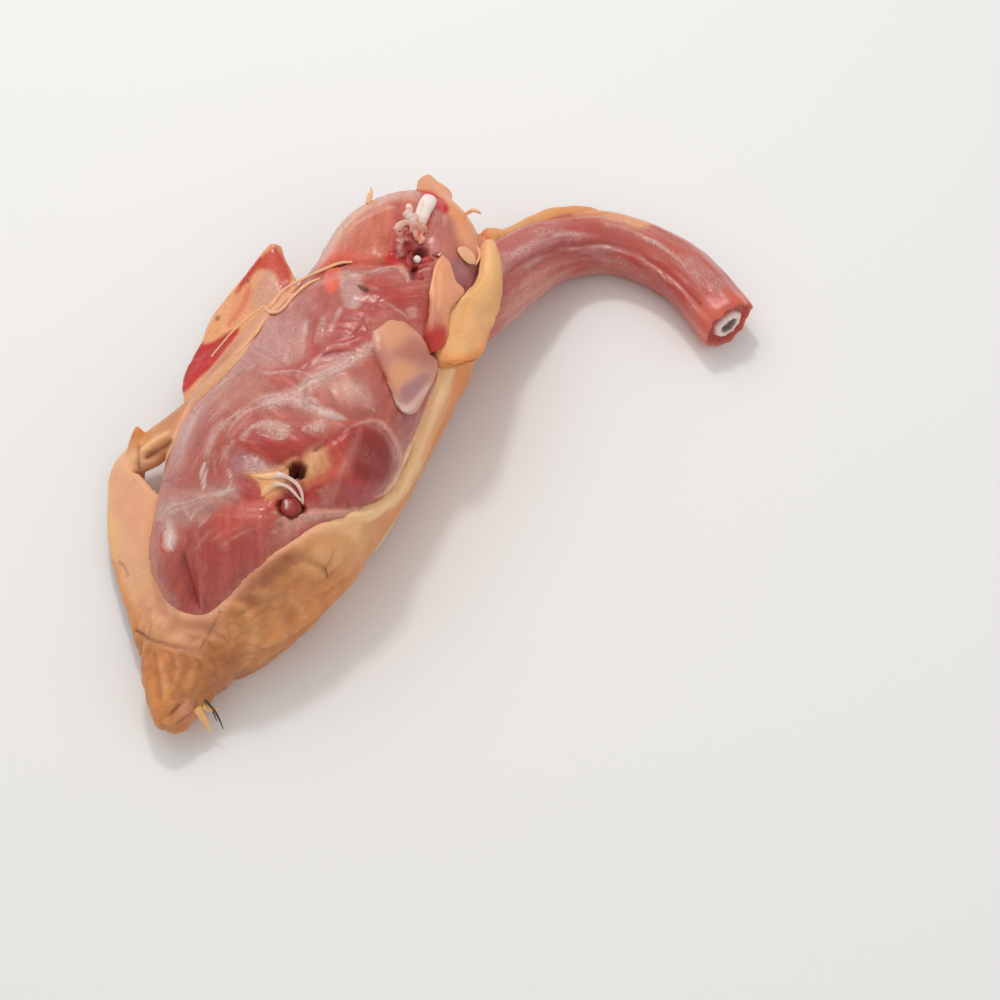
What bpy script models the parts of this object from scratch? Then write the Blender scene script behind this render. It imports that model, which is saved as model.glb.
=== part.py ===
"""Raw chicken carcass with its neck, lying on its right side.

The legs, the wings and the breast meat are cut away. What is left is the rib cage and the hips
in their thin red meat, the curved neck, and the fatty skin that still wraps the back, the tail
and the edge of the belly. Blender's +Z is up, +Y runs from the tail to the neck, and +X points
to the bird's back. The origin is on the floor, under the middle of the outline.

Every size below is in millimetres, and MM turns it into metres when a mesh is made.
"""

import bpy
import bmesh
import numpy as np

MM = 0.001

# The trunk, from the tail to the shoulders: place along the body, belly edge, back edge,
# top, and the height at which the section is widest.
TRUNK_STATIONS = (
    (-100, -37, -22, 24, 14),
    (-88, -46, -13, 34, 17),
    (-66, -61, -2, 49, 22),
    (-32, -70, 7, 60, 26),
    (8, -65, 9, 63, 27),
    (45, -55, 8, 60, 26),
    (72, -53, 1, 53, 24),
    (97, -36, -20, 38, 21),
)
RIDGE_SHARE = 0.42       # the ridge stands this share of the width in from the back
ROUND_BELLY = 2.0        # exponents of the section's curve, 2 is an ellipse
ROUND_BACK = 2.3
BELOW_SHARE = 1.12       # the underside would reach this far below the widest line
CAP_LENGTH = 16.0        # the last stretch at each end, which rounds off
CAP_ROUND = 2.4
CAP_RINGS = 5
CAP_TURN = 80.0          # degrees of the rounding before the flat end face
TRUNK_RINGS = 28
AROUND = 36

# Swellings and hollows of the upper side: centre x and y, half length and half width,
# turn from the X axis in degrees, and height.
RELIEF = (
    (0, -29, 17, 14, 70, 2.8),       # round cut muscle at the hip
    (-32, -36, 28, 14, 20, 2.2),     # long muscle in front of the hip
    (-17, -47, 9, 7, 0, -5.0),       # hollow of the hip joint
    (-26, -68, 20, 12, 50, 2.6),     # thigh root beside the rump
    (-47, -76, 13, 10, 60, 2.4),     # thigh root beside the belly
    (-40, -77, 13, 4, 110, -2.6),    # crease between the two
    (-27, -19, 26, 8, 160, 1.6),     # swelling across the flank
    (-34, 55, 24, 15, 100, 2.4),     # smooth shoulder dome
    (-30, 38, 22, 5, 15, -2.4),      # furrow behind the dome
    (-17, 55, 9, 8, 60, -5.0),       # hollow of the shoulder joint
)

# The underside is pressed flat: it lies on the floor in front, and on the skin at the tail.
SKIN_THICK = 2.8
FLAT_FRONT_Y = -36.0
FLAT_TAIL_Y = -52.0

# Holes that go deep into the joints: centre x, y and z, and the three radii.
HIP_HOLE = ((-17.5, -42.5, 53.0), (2.8, 2.4, 8.0))
SHOULDER_HOLE = ((-15.0, 52.0, 56.0), (3.6, 4.4, 8.0))
RELIEF_FADE = 0.5        # the relief fades where a normal's upward part is less than this

# Neck: middle line and radius. It leaves the shoulders under the back skin and bends round.
NECK_ROUTE = (
    (-2, 50, 32, 15.0),
    (6, 78, 22, 14.0),
    (16, 101, 14, 12.5),
    (36, 114, 11, 11.0),
    (62, 111, 10.4, 10.8),
    (84, 97, 10.6, 11.0),
)
NECK_RINGS = 24
NECK_SIDES = 14
NECK_END_ROUND = 3.0     # the cut end is rounded over this length
NECK_END_PUSH = (0.45, 0.85, 1.0)      # its last rings: share of that length
NECK_END_SIZE = (0.97, 0.86, 0.66)     # and share of the radius

# Skin: the cut edge on the upper side, from the shoulder down the back, round the rump,
# and up along the belly. The underside has the same edge.
BACK_EDGE = (
    (-25, 98), (-16, 77), (-11, 62), (-5, 52), (3, 44), (5, 34), (7, 21), (9, 4), (9.4, -14),
    (9, -27), (6.5, -40), (-1, -52), (-12, -68), (-21, -81), (-31, -89),
)
BELLY_EDGE = (
    (-41, -88), (-52, -82), (-60, -70), (-64, -56), (-66, -42), (-65.5, -22), (-60, -6), (-52, 11),
    (-45, 24), (-36, 38),
)
EDGE_STEPS = 2           # straight pieces for each stretch of the edge
BARE_FRONT = ((-90, 60), (-90, 120), (-40, 120))      # the front of the belly side is bare too
LOW_FRONT = ((-100, -40), (40, -40), (40, 120), (-100, 120))
BELOW_ALL = -5.0         # heights that cutting bodies start from and reach to
TOP_SIDE = 30.0
ABOVE_ALL = 90.0
FRONT_SKIN_LIFT = 1.9    # thinner at the shoulder and along the belly
BELLY_SKIN_LIFT = 2.0
CLEAR = 0.4              # gap kept between pieces that lie on each other
SKIN_LOWEST_FRONT = 9.0  # in front of the rump the skin ends above the floor
FRONT_THIN_Y = (20.0, 50.0)            # the skin thins between these places
BELLY_THIN_X = (-45.0, -58.0)
BELLY_THIN_Y = (-70.0, -45.0)

# Lobes of skin and fat: middle line with the two half sizes across it, level and upright.
RUMP = ((-35, -78, 18, 18, 16), (-31, -89, 17, 18, 16), (-30, -99, 15, 12.5, 13))
TAIL = (
    (-36, -92, 14, 18, 13), (-35, -102, 13, 15, 12.5), (-33, -111, 12, 11.8, 10.5),
    (-32, -117, 11, 9.2, 8.0), (-31, -120.5, 10, 6.5, 5.5),
)
NECK_FLAP = (
    (-3, 80, 36, 4, 3), (3, 69, 39, 6.5, 5), (7, 57, 40, 8, 7), (7.5, 44, 42, 8.5, 8.5),
    (7.5, 33, 43, 9, 9), (8.5, 22, 42, 5.5, 6.5),
)
SHOULDER_EDGE = (
    (-34, 99.5, 31, 2.4, 2.4), (-28, 99.5, 31, 3.2, 3.6), (-20, 95, 31, 4.0, 5.0),
    (-12, 88, 33, 3.8, 5.0), (-6, 80, 35, 3.2, 4.0),
)
NECK_FAT = (
    (-2, 84, 33, 4, 3), (3, 90, 28, 5, 3.5), (11, 108, 21, 5, 3.5),
    (21, 116.5, 18, 4.5, 3), (33, 120.5, 16, 3, 2),
)
FLAP_TIP = ((-84, -42, 13, 4.5, 3.5), (-87, -33, 17, 3.6, 3.4), (-88.5, -30, 18.5, 2.0, 2.4))
LOBE_SIDES = 14
LOBE_RINGS = 9
LOBE_TIP = (0.5, 0.85)   # the two rings that round off each end: share of the way out
LOBE_TIP_REACH = 0.7     # how far the rounding reaches, as a share of the smaller half size

# Belly flap, which folds away from the meat: its inner and outer edge at stations from
# the ribs to the tail.
BELLY_FLAP = (
    ((-64, -2, 31), (-70, -4, 25)),
    ((-66, -16, 31), (-80, -17, 18)),
    ((-66, -28, 30), (-87, -27, 15)),
    ((-65, -40, 29), (-92, -40, 11)),
    ((-63, -53, 28), (-88, -53, 9)),
    ((-58, -67, 26), (-79, -67, 9)),
    ((-50, -79, 23), (-69, -81, 8)),
    ((-42, -88, 20), (-57, -96, 8)),
)
BELLY_FLAP_THICK = 2.6
BELLY_FLAP_BULGE = 3.0   # how far it bows up between the edges
FLAP_HOLE = ((-83, -42), (-76, -35), (-71, -30), (-67, -34), (-66, -46), (-74, -48))
# Breast flap with its red rim, beside the ribs.
BREAST_FLAP = (
    ((-60, -10, 20), (-76, -9, 12)),
    ((-58, 4, 21), (-83, 4, 9)),
    ((-55, 20, 22), (-84, 20, 9)),
    ((-54, 34, 22.5), (-84, 34, 11)),
    ((-61, 47, 20.5), (-80.5, 47, 15)),
    ((-71, 57.5, 18), (-79.2, 57, 17)),
    ((-75.5, 62.5, 18), (-78, 62, 18)),
)
BREAST_FLAP_THICK = 3.4
BREAST_FLAP_BULGE = 2.0
FLAP_ALONG = 18
FLAP_ACROSS = 5

# Thin pieces that hug the meat: outline and thickness.
BLADE = ((-19, 21), (-8, 24.5), (-1, 21), (3.6, 13), (5.4, 5), (4.4, -3), (0, -4.5), (-6, 1), (-13, 9))
BLADE_LIFT = 2.2
STRIP = ((-8, 55), (-3, 49.5), (0.8, 43), (1.6, 36), (2.6, 29), (1, 25.5), (-2, 28), (-4, 36), (-6.5, 45))
STRIP_LIFT = 2.6
FASCIA = ((-32, -47.5), (-27, -44.5), (-22, -45.5), (-21, -49), (-25, -51.5), (-31, -51))
FASCIA_LIFT = 1.9

# Bone end that stands in the open shoulder joint: its two ends, radius, and knob.
BONE_FOOT = (-20.5, 66, 55.0)
BONE_HEAD = (-22.5, 80, 51.5)
BONE_RADIUS = 2.0
BONE_KNOB = 2.7
BONE_SIDES = 10
# Head of the thigh bone's socket.
BALL_AT = (-15.5, -53.0, 52.0)
BALL_RADIUS = 3.4
# Cream tendons that curl out of the hip joint: root, middle, tip.
TENDONS = (
    ((-25, -46.4, 57.0), (-18.5, -45.8, 58.8), (-12.6, -50.2, 55.4)),
    ((-25, -47.6, 56.8), (-19.5, -47.8, 58.4), (-14.6, -51.6, 55.4)),
    ((-25, -48.8, 56.4), (-21.0, -49.6, 57.6), (-17.2, -51.8, 55.4)),
)
TENDON_RADIUS = 0.75
TENDON_SIDES = 6
ROD_STEPS = 4            # rings for each stretch of a rod's middle line
ROD_TIP = (0.5, 0.87)    # the two rings that dome each end

COLOURS = {
    "trunk": ((0.50, 0.10, 0.09), 0.32),
    "back_skin": ((0.80, 0.47, 0.22), 0.45),
    "breast_flap": ((0.72, 0.28, 0.16), 0.38),
    "shoulder_blade": ((0.75, 0.42, 0.32), 0.35),
    "shoulder_strip": ((0.80, 0.43, 0.29), 0.38),
    "shoulder_bone": ((0.84, 0.74, 0.68), 0.35),
    "hip_ball": ((0.30, 0.05, 0.05), 0.20),
    "hip_tendon": ((0.86, 0.68, 0.44), 0.38),
}


def smooth_rows(keys, rows, at):
    """Rows of values at the places `at`, on a cubic curve through the rows given at `keys`."""
    keys = np.asarray(keys, float)
    rows = np.asarray(rows, float)
    at = np.asarray(at, float)
    slopes = np.gradient(rows, keys, axis=0)
    i = np.clip(np.searchsorted(keys, at, side="right") - 1, 0, len(keys) - 2)
    step = (keys[i + 1] - keys[i])[..., None]
    t = (at - keys[i])[..., None] / step
    start, end = rows[i], rows[i + 1]
    rise_start, rise_end = slopes[i] * step, slopes[i + 1] * step
    return (start * (2 * t**3 - 3 * t**2 + 1) + rise_start * (t**3 - 2 * t**2 + t)
            + end * (3 * t**2 - 2 * t**3) + rise_end * (t**3 - t**2))


def smooth_step(low, high, value):
    """0 below `low`, 1 above `high`, and an even S curve between them."""
    t = np.clip((value - low) / (high - low), 0.0, 1.0)
    return t * t * (3 - 2 * t)


def unit(vectors):
    return vectors / np.linalg.norm(vectors, axis=-1, keepdims=True)


def signed_power(value, exponent):
    return np.sign(value) * np.abs(value) ** exponent


def tube_normals(points):
    """Outward normals of rings of points that run round a body."""
    around = np.roll(points, -1, axis=1) - np.roll(points, 1, axis=1)
    along = np.gradient(points, axis=0)
    return unit(np.cross(along, around))


def relief(x, y):
    """Height of the swellings and hollows over the smooth trunk at x, y."""
    total = np.zeros_like(x)
    for cx, cy, half_long, half_wide, turn, height in RELIEF:
        angle = np.radians(turn)
        along = (x - cx) * np.cos(angle) + (y - cy) * np.sin(angle)
        across = -(x - cx) * np.sin(angle) + (y - cy) * np.cos(angle)
        total += height * np.exp(-(along / half_long) ** 2 - (across / half_wide) ** 2)
    return total


def new_object(name, verts, faces):
    """An object whose mesh has these points, in mm, and faces."""
    mesh = bpy.data.meshes.new(name)
    mesh.from_pydata([tuple(v * MM) for v in np.asarray(verts, float)], [], faces)
    mesh.validate()
    obj = bpy.data.objects.new(name, mesh)
    bpy.context.scene.collection.objects.link(obj)
    turn_outward(mesh)
    return obj


def turn_outward(mesh):
    bm = bmesh.new()
    bm.from_mesh(mesh)
    bmesh.ops.triangulate(bm, faces=bm.faces[:])
    bmesh.ops.recalc_face_normals(bm, faces=bm.faces[:])
    if bm.calc_volume(signed=True) < 0:
        bmesh.ops.reverse_faces(bm, faces=bm.faces[:])
    bm.to_mesh(mesh)
    bm.free()


def loft(name, rings):
    """A closed body through rings of points, with a flat face at each end."""
    count, sides = rings.shape[:2]
    faces = []
    for i in range(count - 1):
        for j in range(sides):
            k = (j + 1) % sides
            faces.append((i * sides + j, i * sides + k, (i + 1) * sides + k, (i + 1) * sides + j))
    faces.append(tuple(range(sides)))
    faces.append(tuple(range((count - 1) * sides, count * sides)))
    return new_object(name, rings.reshape(-1, 3), faces)


def slab(name, grid, thick):
    """A sheet of even thickness under a grid of points."""
    normal = unit(np.cross(np.gradient(grid, axis=0), np.gradient(grid, axis=1)))
    normal *= np.sign(normal[..., 2:].mean())
    rows, cols = grid.shape[:2]
    verts = np.concatenate([grid.reshape(-1, 3), (grid - normal * thick).reshape(-1, 3)])
    index = np.arange(rows * cols).reshape(rows, cols)
    faces = []
    for i in range(rows - 1):
        for j in range(cols - 1):
            face = (index[i, j], index[i + 1, j], index[i + 1, j + 1], index[i, j + 1])
            faces.append(face)
            faces.append(tuple(v + rows * cols for v in reversed(face)))
    edge = np.concatenate([index[0, :-1], index[:-1, -1], index[-1, :0:-1], index[:0:-1, 0]])
    for a, b in zip(edge, np.roll(edge, -1)):
        faces.append((a, b, b + rows * cols, a + rows * cols))
    return new_object(name, verts, [tuple(int(v) for v in face) for face in faces])


def prism(name, outline, low, high):
    """An upright body with this outline in plan, from height `low` to `high`."""
    outline = np.asarray(outline, float)
    count = len(outline)
    bottom = np.column_stack([outline, np.full(count, low)])
    top = np.column_stack([outline, np.full(count, high)])
    faces = [tuple(range(count)), tuple(range(count, 2 * count))]
    for i in range(count):
        k = (i + 1) % count
        faces.append((i, k, k + count, i + count))
    return new_object(name, np.concatenate([bottom, top]), faces)


def ball(name, centre, radii, segments=12, rings=8):
    """A round body with three radii."""
    bm = bmesh.new()
    bmesh.ops.create_uvsphere(bm, u_segments=segments, v_segments=rings, radius=1.0)
    verts = np.array([v.co for v in bm.verts]) * np.asarray(radii) + np.asarray(centre)
    faces = [tuple(v.index for v in face.verts) for face in bm.faces]
    bm.free()
    return new_object(name, verts, faces)


def boolean(target, operation, tools):
    """Unite, cut or keep `target` with each tool in turn, and remove the tools."""
    for tool in tools:
        modifier = target.modifiers.new(operation, "BOOLEAN")
        modifier.operation = operation
        modifier.solver = "EXACT"
        modifier.object = tool
        tool.hide_render = True
        tool.display_type = "WIRE"
    evaluated = target.evaluated_get(bpy.context.evaluated_depsgraph_get())
    old = target.data
    result = bpy.data.meshes.new_from_object(evaluated)
    target.modifiers.clear()
    target.data = result
    result.name = old.name
    bpy.data.meshes.remove(old)
    for tool in tools:
        mesh = tool.data
        bpy.data.objects.remove(tool)
        bpy.data.meshes.remove(mesh)
    return target


def trunk_sections():
    """Places along the trunk and how much of the full section each ring has."""
    bend = np.sin(np.linspace(0.0, np.radians(CAP_TURN), CAP_RINGS + 1))[1:]
    share = (1 - bend**CAP_ROUND) ** (1 / CAP_ROUND)
    first, last = TRUNK_STATIONS[0][0], TRUNK_STATIONS[-1][0]
    tail = first + CAP_LENGTH * (1 - bend[::-1])
    middle = np.linspace(first + CAP_LENGTH, last - CAP_LENGTH, TRUNK_RINGS)
    front = last - CAP_LENGTH * (1 - bend)
    return np.concatenate([tail, middle, front]), np.concatenate([share[::-1], np.ones(TRUNK_RINGS), share])


def trunk_grid(lift, lift_at=None):
    """Rings of points on the trunk's surface, moved out by `lift`."""
    keys = [row[0] for row in TRUNK_STATIONS]
    y, share = trunk_sections()
    belly, back, top, middle = np.moveaxis(
        smooth_rows(keys, [row[1:] for row in TRUNK_STATIONS], y), -1, 0)
    ridge = back - RIDGE_SHARE * (back - belly)
    angle = np.linspace(0, 2 * np.pi, AROUND, endpoint=False)[None, :]
    side, rise = np.cos(angle), np.sin(angle)
    power = 2 / np.where(side > 0, ROUND_BACK, ROUND_BELLY)
    width = np.where(side > 0, (back - ridge)[:, None], (ridge - belly)[:, None])
    height = np.where(rise > 0, (top - middle)[:, None], BELOW_SHARE * middle[:, None])
    x = ridge[:, None] + width * share[:, None] * signed_power(side, power)
    z = middle[:, None] + height * share[:, None] * signed_power(rise, power)
    points = np.stack([x, np.broadcast_to(y[:, None], x.shape), z], axis=-1)
    normals = tube_normals(points)
    upward = smooth_step(0.0, RELIEF_FADE, normals[..., 2])
    points = points + normals * (relief(points[..., 0], points[..., 1]) * upward)[..., None]
    lifts = lift if lift_at is None else lift_at(points)[..., None]
    points = points + tube_normals(points) * lifts
    floor = SKIN_THICK * (1 - smooth_step(FLAT_TAIL_Y, FLAT_FRONT_Y, points[..., 1])) - lift
    if lift > 2 * CLEAR:
        floor = np.maximum(floor, 0.0)
    points[..., 2] = np.maximum(points[..., 2], floor)
    return points


def neck_grid(lift):
    """Rings of points round the neck, moved out by `lift`."""
    route = np.asarray(NECK_ROUTE, float)
    at = np.linspace(0, len(route) - 1, NECK_RINGS)
    rows = smooth_rows(np.arange(len(route)), route, at)
    centre, radius = rows[:, :3], rows[:, 3]
    along = unit(np.gradient(centre, axis=0))
    level = unit(np.cross(along, (0.0, 0.0, 1.0)))
    upright = np.cross(level, along)
    end = centre[-1] + along[-1] * (NECK_END_ROUND * np.array(NECK_END_PUSH))[:, None]
    end += along[-1] * lift
    centre = np.concatenate([centre, end])
    radius = np.concatenate([radius, radius[-1] * np.array(NECK_END_SIZE)])
    level = np.concatenate([level, np.repeat(level[-1:], len(end), axis=0)])
    upright = np.concatenate([upright, np.repeat(upright[-1:], len(end), axis=0)])
    angle = np.linspace(0, 2 * np.pi, NECK_SIDES, endpoint=False)[None, :, None]
    ring = level[:, None] * np.cos(angle) + upright[:, None] * np.sin(angle)
    points = centre[:, None] + ring * (radius[:, None, None] + lift)
    points[..., 2] = np.maximum(points[..., 2], 0.0 if lift == 0 else -lift)
    return points


def meat(name, lift):
    """Trunk and neck as one body, moved out by `lift`."""
    trunk = loft(name, trunk_grid(lift))
    return boolean(trunk, "UNION", [loft("neck", neck_grid(lift))])


def lobe(name, stations):
    """A rounded lobe along stations of x, y, z and two half sizes."""
    stations = np.asarray(stations, float)
    at = np.linspace(0, len(stations) - 1, LOBE_RINGS)
    rows = smooth_rows(np.arange(len(stations)), stations, at)
    centre = rows[:, :3]
    along = unit(np.gradient(centre, axis=0))
    level = unit(np.cross(along, (0.0, 0.0, 1.0)))
    upright = np.cross(level, along)
    tip = np.array(LOBE_TIP)
    shrink = np.sqrt(1 - tip**2)
    reach = rows[[0, -1], 3:].min(axis=1) * LOBE_TIP_REACH
    before = centre[0] - along[0] * (reach[0] * tip[::-1])[:, None]
    after = centre[-1] + along[-1] * (reach[1] * tip)[:, None]
    half = np.concatenate([rows[0, 3:] * shrink[::-1, None], rows[:, 3:], rows[-1, 3:] * shrink[:, None]])
    centre = np.concatenate([before, centre, after])
    level = np.concatenate([level[[0, 0]], level, level[[-1, -1]]])
    upright = np.concatenate([upright[[0, 0]], upright, upright[[-1, -1]]])
    angle = np.linspace(0, 2 * np.pi, LOBE_SIDES, endpoint=False)[None, :]
    points = (centre[:, None]
              + level[:, None] * (half[:, :1] * np.cos(angle))[..., None]
              + upright[:, None] * (half[:, 1:] * np.sin(angle))[..., None])
    points[..., 2] = np.maximum(points[..., 2], 0.0)
    return loft(name, points)


def flap(name, stations, thick, bulge):
    """A bowed sheet between an inner and an outer edge."""
    stations = np.asarray(stations, float).reshape(len(stations), 6)
    at = np.linspace(0, len(stations) - 1, FLAP_ALONG)
    rows = smooth_rows(np.arange(len(stations)), stations, at)
    inner, outer = rows[:, None, :3], rows[:, None, 3:]
    v = np.linspace(0, 1, FLAP_ACROSS)[None, :, None]
    grid = inner + (outer - inner) * v
    grid[..., 2] += bulge * np.sin(np.pi * v[..., 0])
    return slab(name, grid, thick)


def edge_curve(points):
    """The points of a cut edge with smooth stretches between them."""
    points = np.asarray(points, float)
    at = np.linspace(0, len(points) - 1, (len(points) - 1) * EDGE_STEPS + 1)
    return smooth_rows(np.arange(len(points)), points, at)


def skin_lift(points):
    """Thickness of the skin, gap included: full on the back and rump, less elsewhere."""
    x, y = points[..., 0], points[..., 1]
    front = smooth_step(*FRONT_THIN_Y, y)
    belly = smooth_step(*BELLY_THIN_X, x) * smooth_step(*BELLY_THIN_Y, y)
    thin = SKIN_THICK + (FRONT_SKIN_LIFT - SKIN_THICK) * front
    return thin + (BELLY_SKIN_LIFT - thin) * belly


def back_skin():
    """Skin of the back, rump and belly edge, with its lobes and the belly flap."""
    skin = loft("back_skin", trunk_grid(SKIN_THICK, skin_lift))
    bare = np.concatenate([edge_curve(BACK_EDGE), edge_curve(BELLY_EDGE), BARE_FRONT])
    low_front = prism("low_front", LOW_FRONT, BELOW_ALL, SKIN_LOWEST_FRONT)
    boolean(skin, "DIFFERENCE", [prism("bare", bare, BELOW_ALL, ABOVE_ALL), low_front])
    lobes = [lobe("rump", RUMP), lobe("tail", TAIL), lobe("neck_flap", NECK_FLAP),
             lobe("shoulder_edge", SHOULDER_EDGE), lobe("neck_fat", NECK_FAT),
             lobe("flap_tip", FLAP_TIP)]
    lobes.append(flap("belly_flap", BELLY_FLAP, BELLY_FLAP_THICK, BELLY_FLAP_BULGE))
    boolean(skin, "UNION", lobes)
    hole = prism("flap_hole", FLAP_HOLE, BELOW_ALL, ABOVE_ALL)
    boolean(skin, "DIFFERENCE", [meat("clearance", CLEAR), hole, shoulder_bone(CLEAR)])
    return skin


def hugging_piece(name, outline, lift):
    """A thin piece with this outline in plan that lies on the upper side of the meat."""
    piece = loft(name, trunk_grid(lift))
    edge = edge_curve([*outline, outline[0]])[:-1]
    boolean(piece, "INTERSECT", [prism("outline", edge, TOP_SIDE, ABOVE_ALL)])
    boolean(piece, "DIFFERENCE", [loft("clearance", trunk_grid(CLEAR))])
    return piece


def breast_flap():
    """Sheet of meat beside the ribs, with a thick rim."""
    sheet = flap("breast_flap", BREAST_FLAP, BREAST_FLAP_THICK, BREAST_FLAP_BULGE)
    return boolean(sheet, "DIFFERENCE", [loft("clearance", trunk_grid(SKIN_THICK + CLEAR))])


def rod(name, points, radius, sides):
    """A round rod with domed ends along a smooth curve through the points."""
    points = np.asarray(points, float)
    at = np.linspace(0, len(points) - 1, ROD_STEPS * (len(points) - 1) + 1)
    centre = smooth_rows(np.arange(len(points)), points, at)
    along = unit(np.gradient(centre, axis=0))
    level = unit(np.cross(along, (0.0, 0.0, 1.0)))
    upright = np.cross(level, along)
    tip = np.array(ROD_TIP)
    centre = np.concatenate([
        centre[0] - along[0] * (radius * tip[::-1])[:, None], centre,
        centre[-1] + along[-1] * (radius * tip)[:, None]])
    size = np.concatenate([np.sqrt(1 - tip[::-1]**2), np.ones(len(at)), np.sqrt(1 - tip**2)]) * radius
    level = np.concatenate([level[[0, 0]], level, level[[-1, -1]]])
    upright = np.concatenate([upright[[0, 0]], upright, upright[[-1, -1]]])
    angle = np.linspace(0, 2 * np.pi, sides, endpoint=False)[None, :, None]
    ring = level[:, None] * np.cos(angle) + upright[:, None] * np.sin(angle)
    return loft(name, centre[:, None] + ring * size[:, None, None])


def shoulder_bone(grow=0.0):
    """White bone end with a knob, standing free in the opened shoulder joint."""
    bone = rod("shoulder_bone", (BONE_FOOT, BONE_HEAD), BONE_RADIUS + grow, BONE_SIDES)
    knob = ball("knob", BONE_HEAD, (BONE_KNOB + grow,) * 3)
    return boolean(bone, "UNION", [knob])


def hip_ball(grow=0.0):
    return ball("hip_ball", BALL_AT, (BALL_RADIUS + grow,) * 3)


def hip_tendon():
    """Fascia patch with three tendons that curl out of it over the hip joint."""
    patch = hugging_piece("hip_tendon", FASCIA, FASCIA_LIFT)
    strands = [rod("strand", points, TENDON_RADIUS, TENDON_SIDES) for points in TENDONS]
    boolean(patch, "UNION", strands)
    return boolean(patch, "DIFFERENCE", [loft("clearance", trunk_grid(CLEAR)), hip_ball(CLEAR)])


def trunk():
    """The meat and neck, with the joints' holes and seats for the bone end and the ball."""
    body = meat("trunk", 0.0)
    holes = [ball("hip_hole", *HIP_HOLE), ball("shoulder_hole", *SHOULDER_HOLE)]
    return boolean(body, "DIFFERENCE", holes + [shoulder_bone(CLEAR), hip_ball(CLEAR)])


def tidy(obj):
    """Drop the tiny edges that cutting leaves, and keep triangles only."""
    bm = bmesh.new()
    bm.from_mesh(obj.data)
    bmesh.ops.remove_doubles(bm, verts=bm.verts[:], dist=0.02 * MM)
    bmesh.ops.dissolve_degenerate(bm, edges=bm.edges[:], dist=0.02 * MM)
    bmesh.ops.delete(bm, geom=[edge for edge in bm.edges if not edge.link_faces], context="EDGES")
    bmesh.ops.delete(bm, geom=[vert for vert in bm.verts if not vert.link_faces], context="VERTS")
    bmesh.ops.triangulate(bm, faces=bm.faces[:])
    bm.to_mesh(obj.data)
    bm.free()


def finish(obj):
    """Smooth shading and the piece's own material."""
    tidy(obj)
    colour, roughness = COLOURS[obj.name]
    material = bpy.data.materials.new(obj.name)
    material.use_nodes = True
    shader = material.node_tree.nodes["Principled BSDF"]
    shader.inputs["Base Color"].default_value = (*colour, 1.0)
    shader.inputs["Roughness"].default_value = roughness
    shader.inputs["Metallic"].default_value = 0.0
    obj.data.materials.clear()
    obj.data.materials.append(material)
    obj.data.shade_smooth()


def main():
    for obj in list(bpy.data.objects):
        bpy.data.objects.remove(obj)
    pieces = [
        trunk(),
        back_skin(),
        breast_flap(),
        hugging_piece("shoulder_blade", BLADE, BLADE_LIFT),
        hugging_piece("shoulder_strip", STRIP, STRIP_LIFT),
        shoulder_bone(),
        hip_ball(),
        hip_tendon(),
    ]
    for piece in pieces:
        finish(piece)


main()
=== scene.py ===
# %% [markdown]
# # A raw chicken carcass, worked out from numbers
#
# The carcass lies on its right side. Its legs, wings and breast meat are cut away. What is left
# is the rib cage and hips in a coat of thin red meat, the curved neck, and the fatty skin that
# still wraps the back, the tail and the edge of the belly.
#
# Every cell is one step. All sizes are in millimetres, in the row's own frame: +Y runs from the
# tail to the neck, +X points to the bird's back and +Z is up. MM turns them into metres when a
# mesh is made.

import bpy
import numpy as np
from mathutils import Matrix


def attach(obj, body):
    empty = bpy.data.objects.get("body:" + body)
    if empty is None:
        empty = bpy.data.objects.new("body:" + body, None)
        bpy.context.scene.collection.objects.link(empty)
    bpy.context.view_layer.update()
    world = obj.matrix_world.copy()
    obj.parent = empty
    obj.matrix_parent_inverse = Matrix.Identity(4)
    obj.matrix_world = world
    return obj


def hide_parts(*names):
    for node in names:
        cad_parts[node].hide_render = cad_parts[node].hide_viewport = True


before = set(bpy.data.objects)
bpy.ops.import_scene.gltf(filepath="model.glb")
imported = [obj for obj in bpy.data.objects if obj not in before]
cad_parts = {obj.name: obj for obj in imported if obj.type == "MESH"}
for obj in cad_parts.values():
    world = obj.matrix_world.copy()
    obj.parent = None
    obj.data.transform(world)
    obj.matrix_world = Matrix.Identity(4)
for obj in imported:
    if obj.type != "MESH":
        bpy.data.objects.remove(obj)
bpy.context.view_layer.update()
MM = 0.001
print("CAD nodes:", sorted(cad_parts))

# %% [markdown]
# ## The camera comes first
#
# The photograph looks down on the carcass from the tail end, a little from the back. The camera
# is set by two angles, a distance and the point it looks at. The same numbers also tell at which
# pixel of the photograph a point of the body is seen. The later cells use that to lay muscle
# borders and films of membrane on the meat, once, as values stored in the mesh.

# %% The camera, and where a point is seen
PHOTO_SIZE = 1000
LENS, SENSOR = 85.0, 36.0
DISTANCE = 826.0
AIM = np.array([35.0, 3.0, 0.0])
AZIMUTH, ELEVATION = np.radians(22.0), np.radians(60.0)
FOCAL = PHOTO_SIZE * LENS / SENSOR

TO_CAMERA = np.array([
    np.sin(AZIMUTH) * np.cos(ELEVATION), -np.cos(AZIMUTH) * np.cos(ELEVATION), np.sin(ELEVATION)])
TO_RIGHT = np.array([np.cos(AZIMUTH), np.sin(AZIMUTH), 0.0])
TO_TOP = np.cross(TO_CAMERA, TO_RIGHT)
EYE = AIM + TO_CAMERA * DISTANCE


def photo_place(points):
    """Pixel at which points in mm are seen: their offset from the eye over their depth."""
    offset = points - EYE
    depth = -(offset @ TO_CAMERA)
    return np.stack([PHOTO_SIZE / 2 + FOCAL * (offset @ TO_RIGHT) / depth,
                     PHOTO_SIZE / 2 - FOCAL * (offset @ TO_TOP) / depth], axis=-1)


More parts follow.
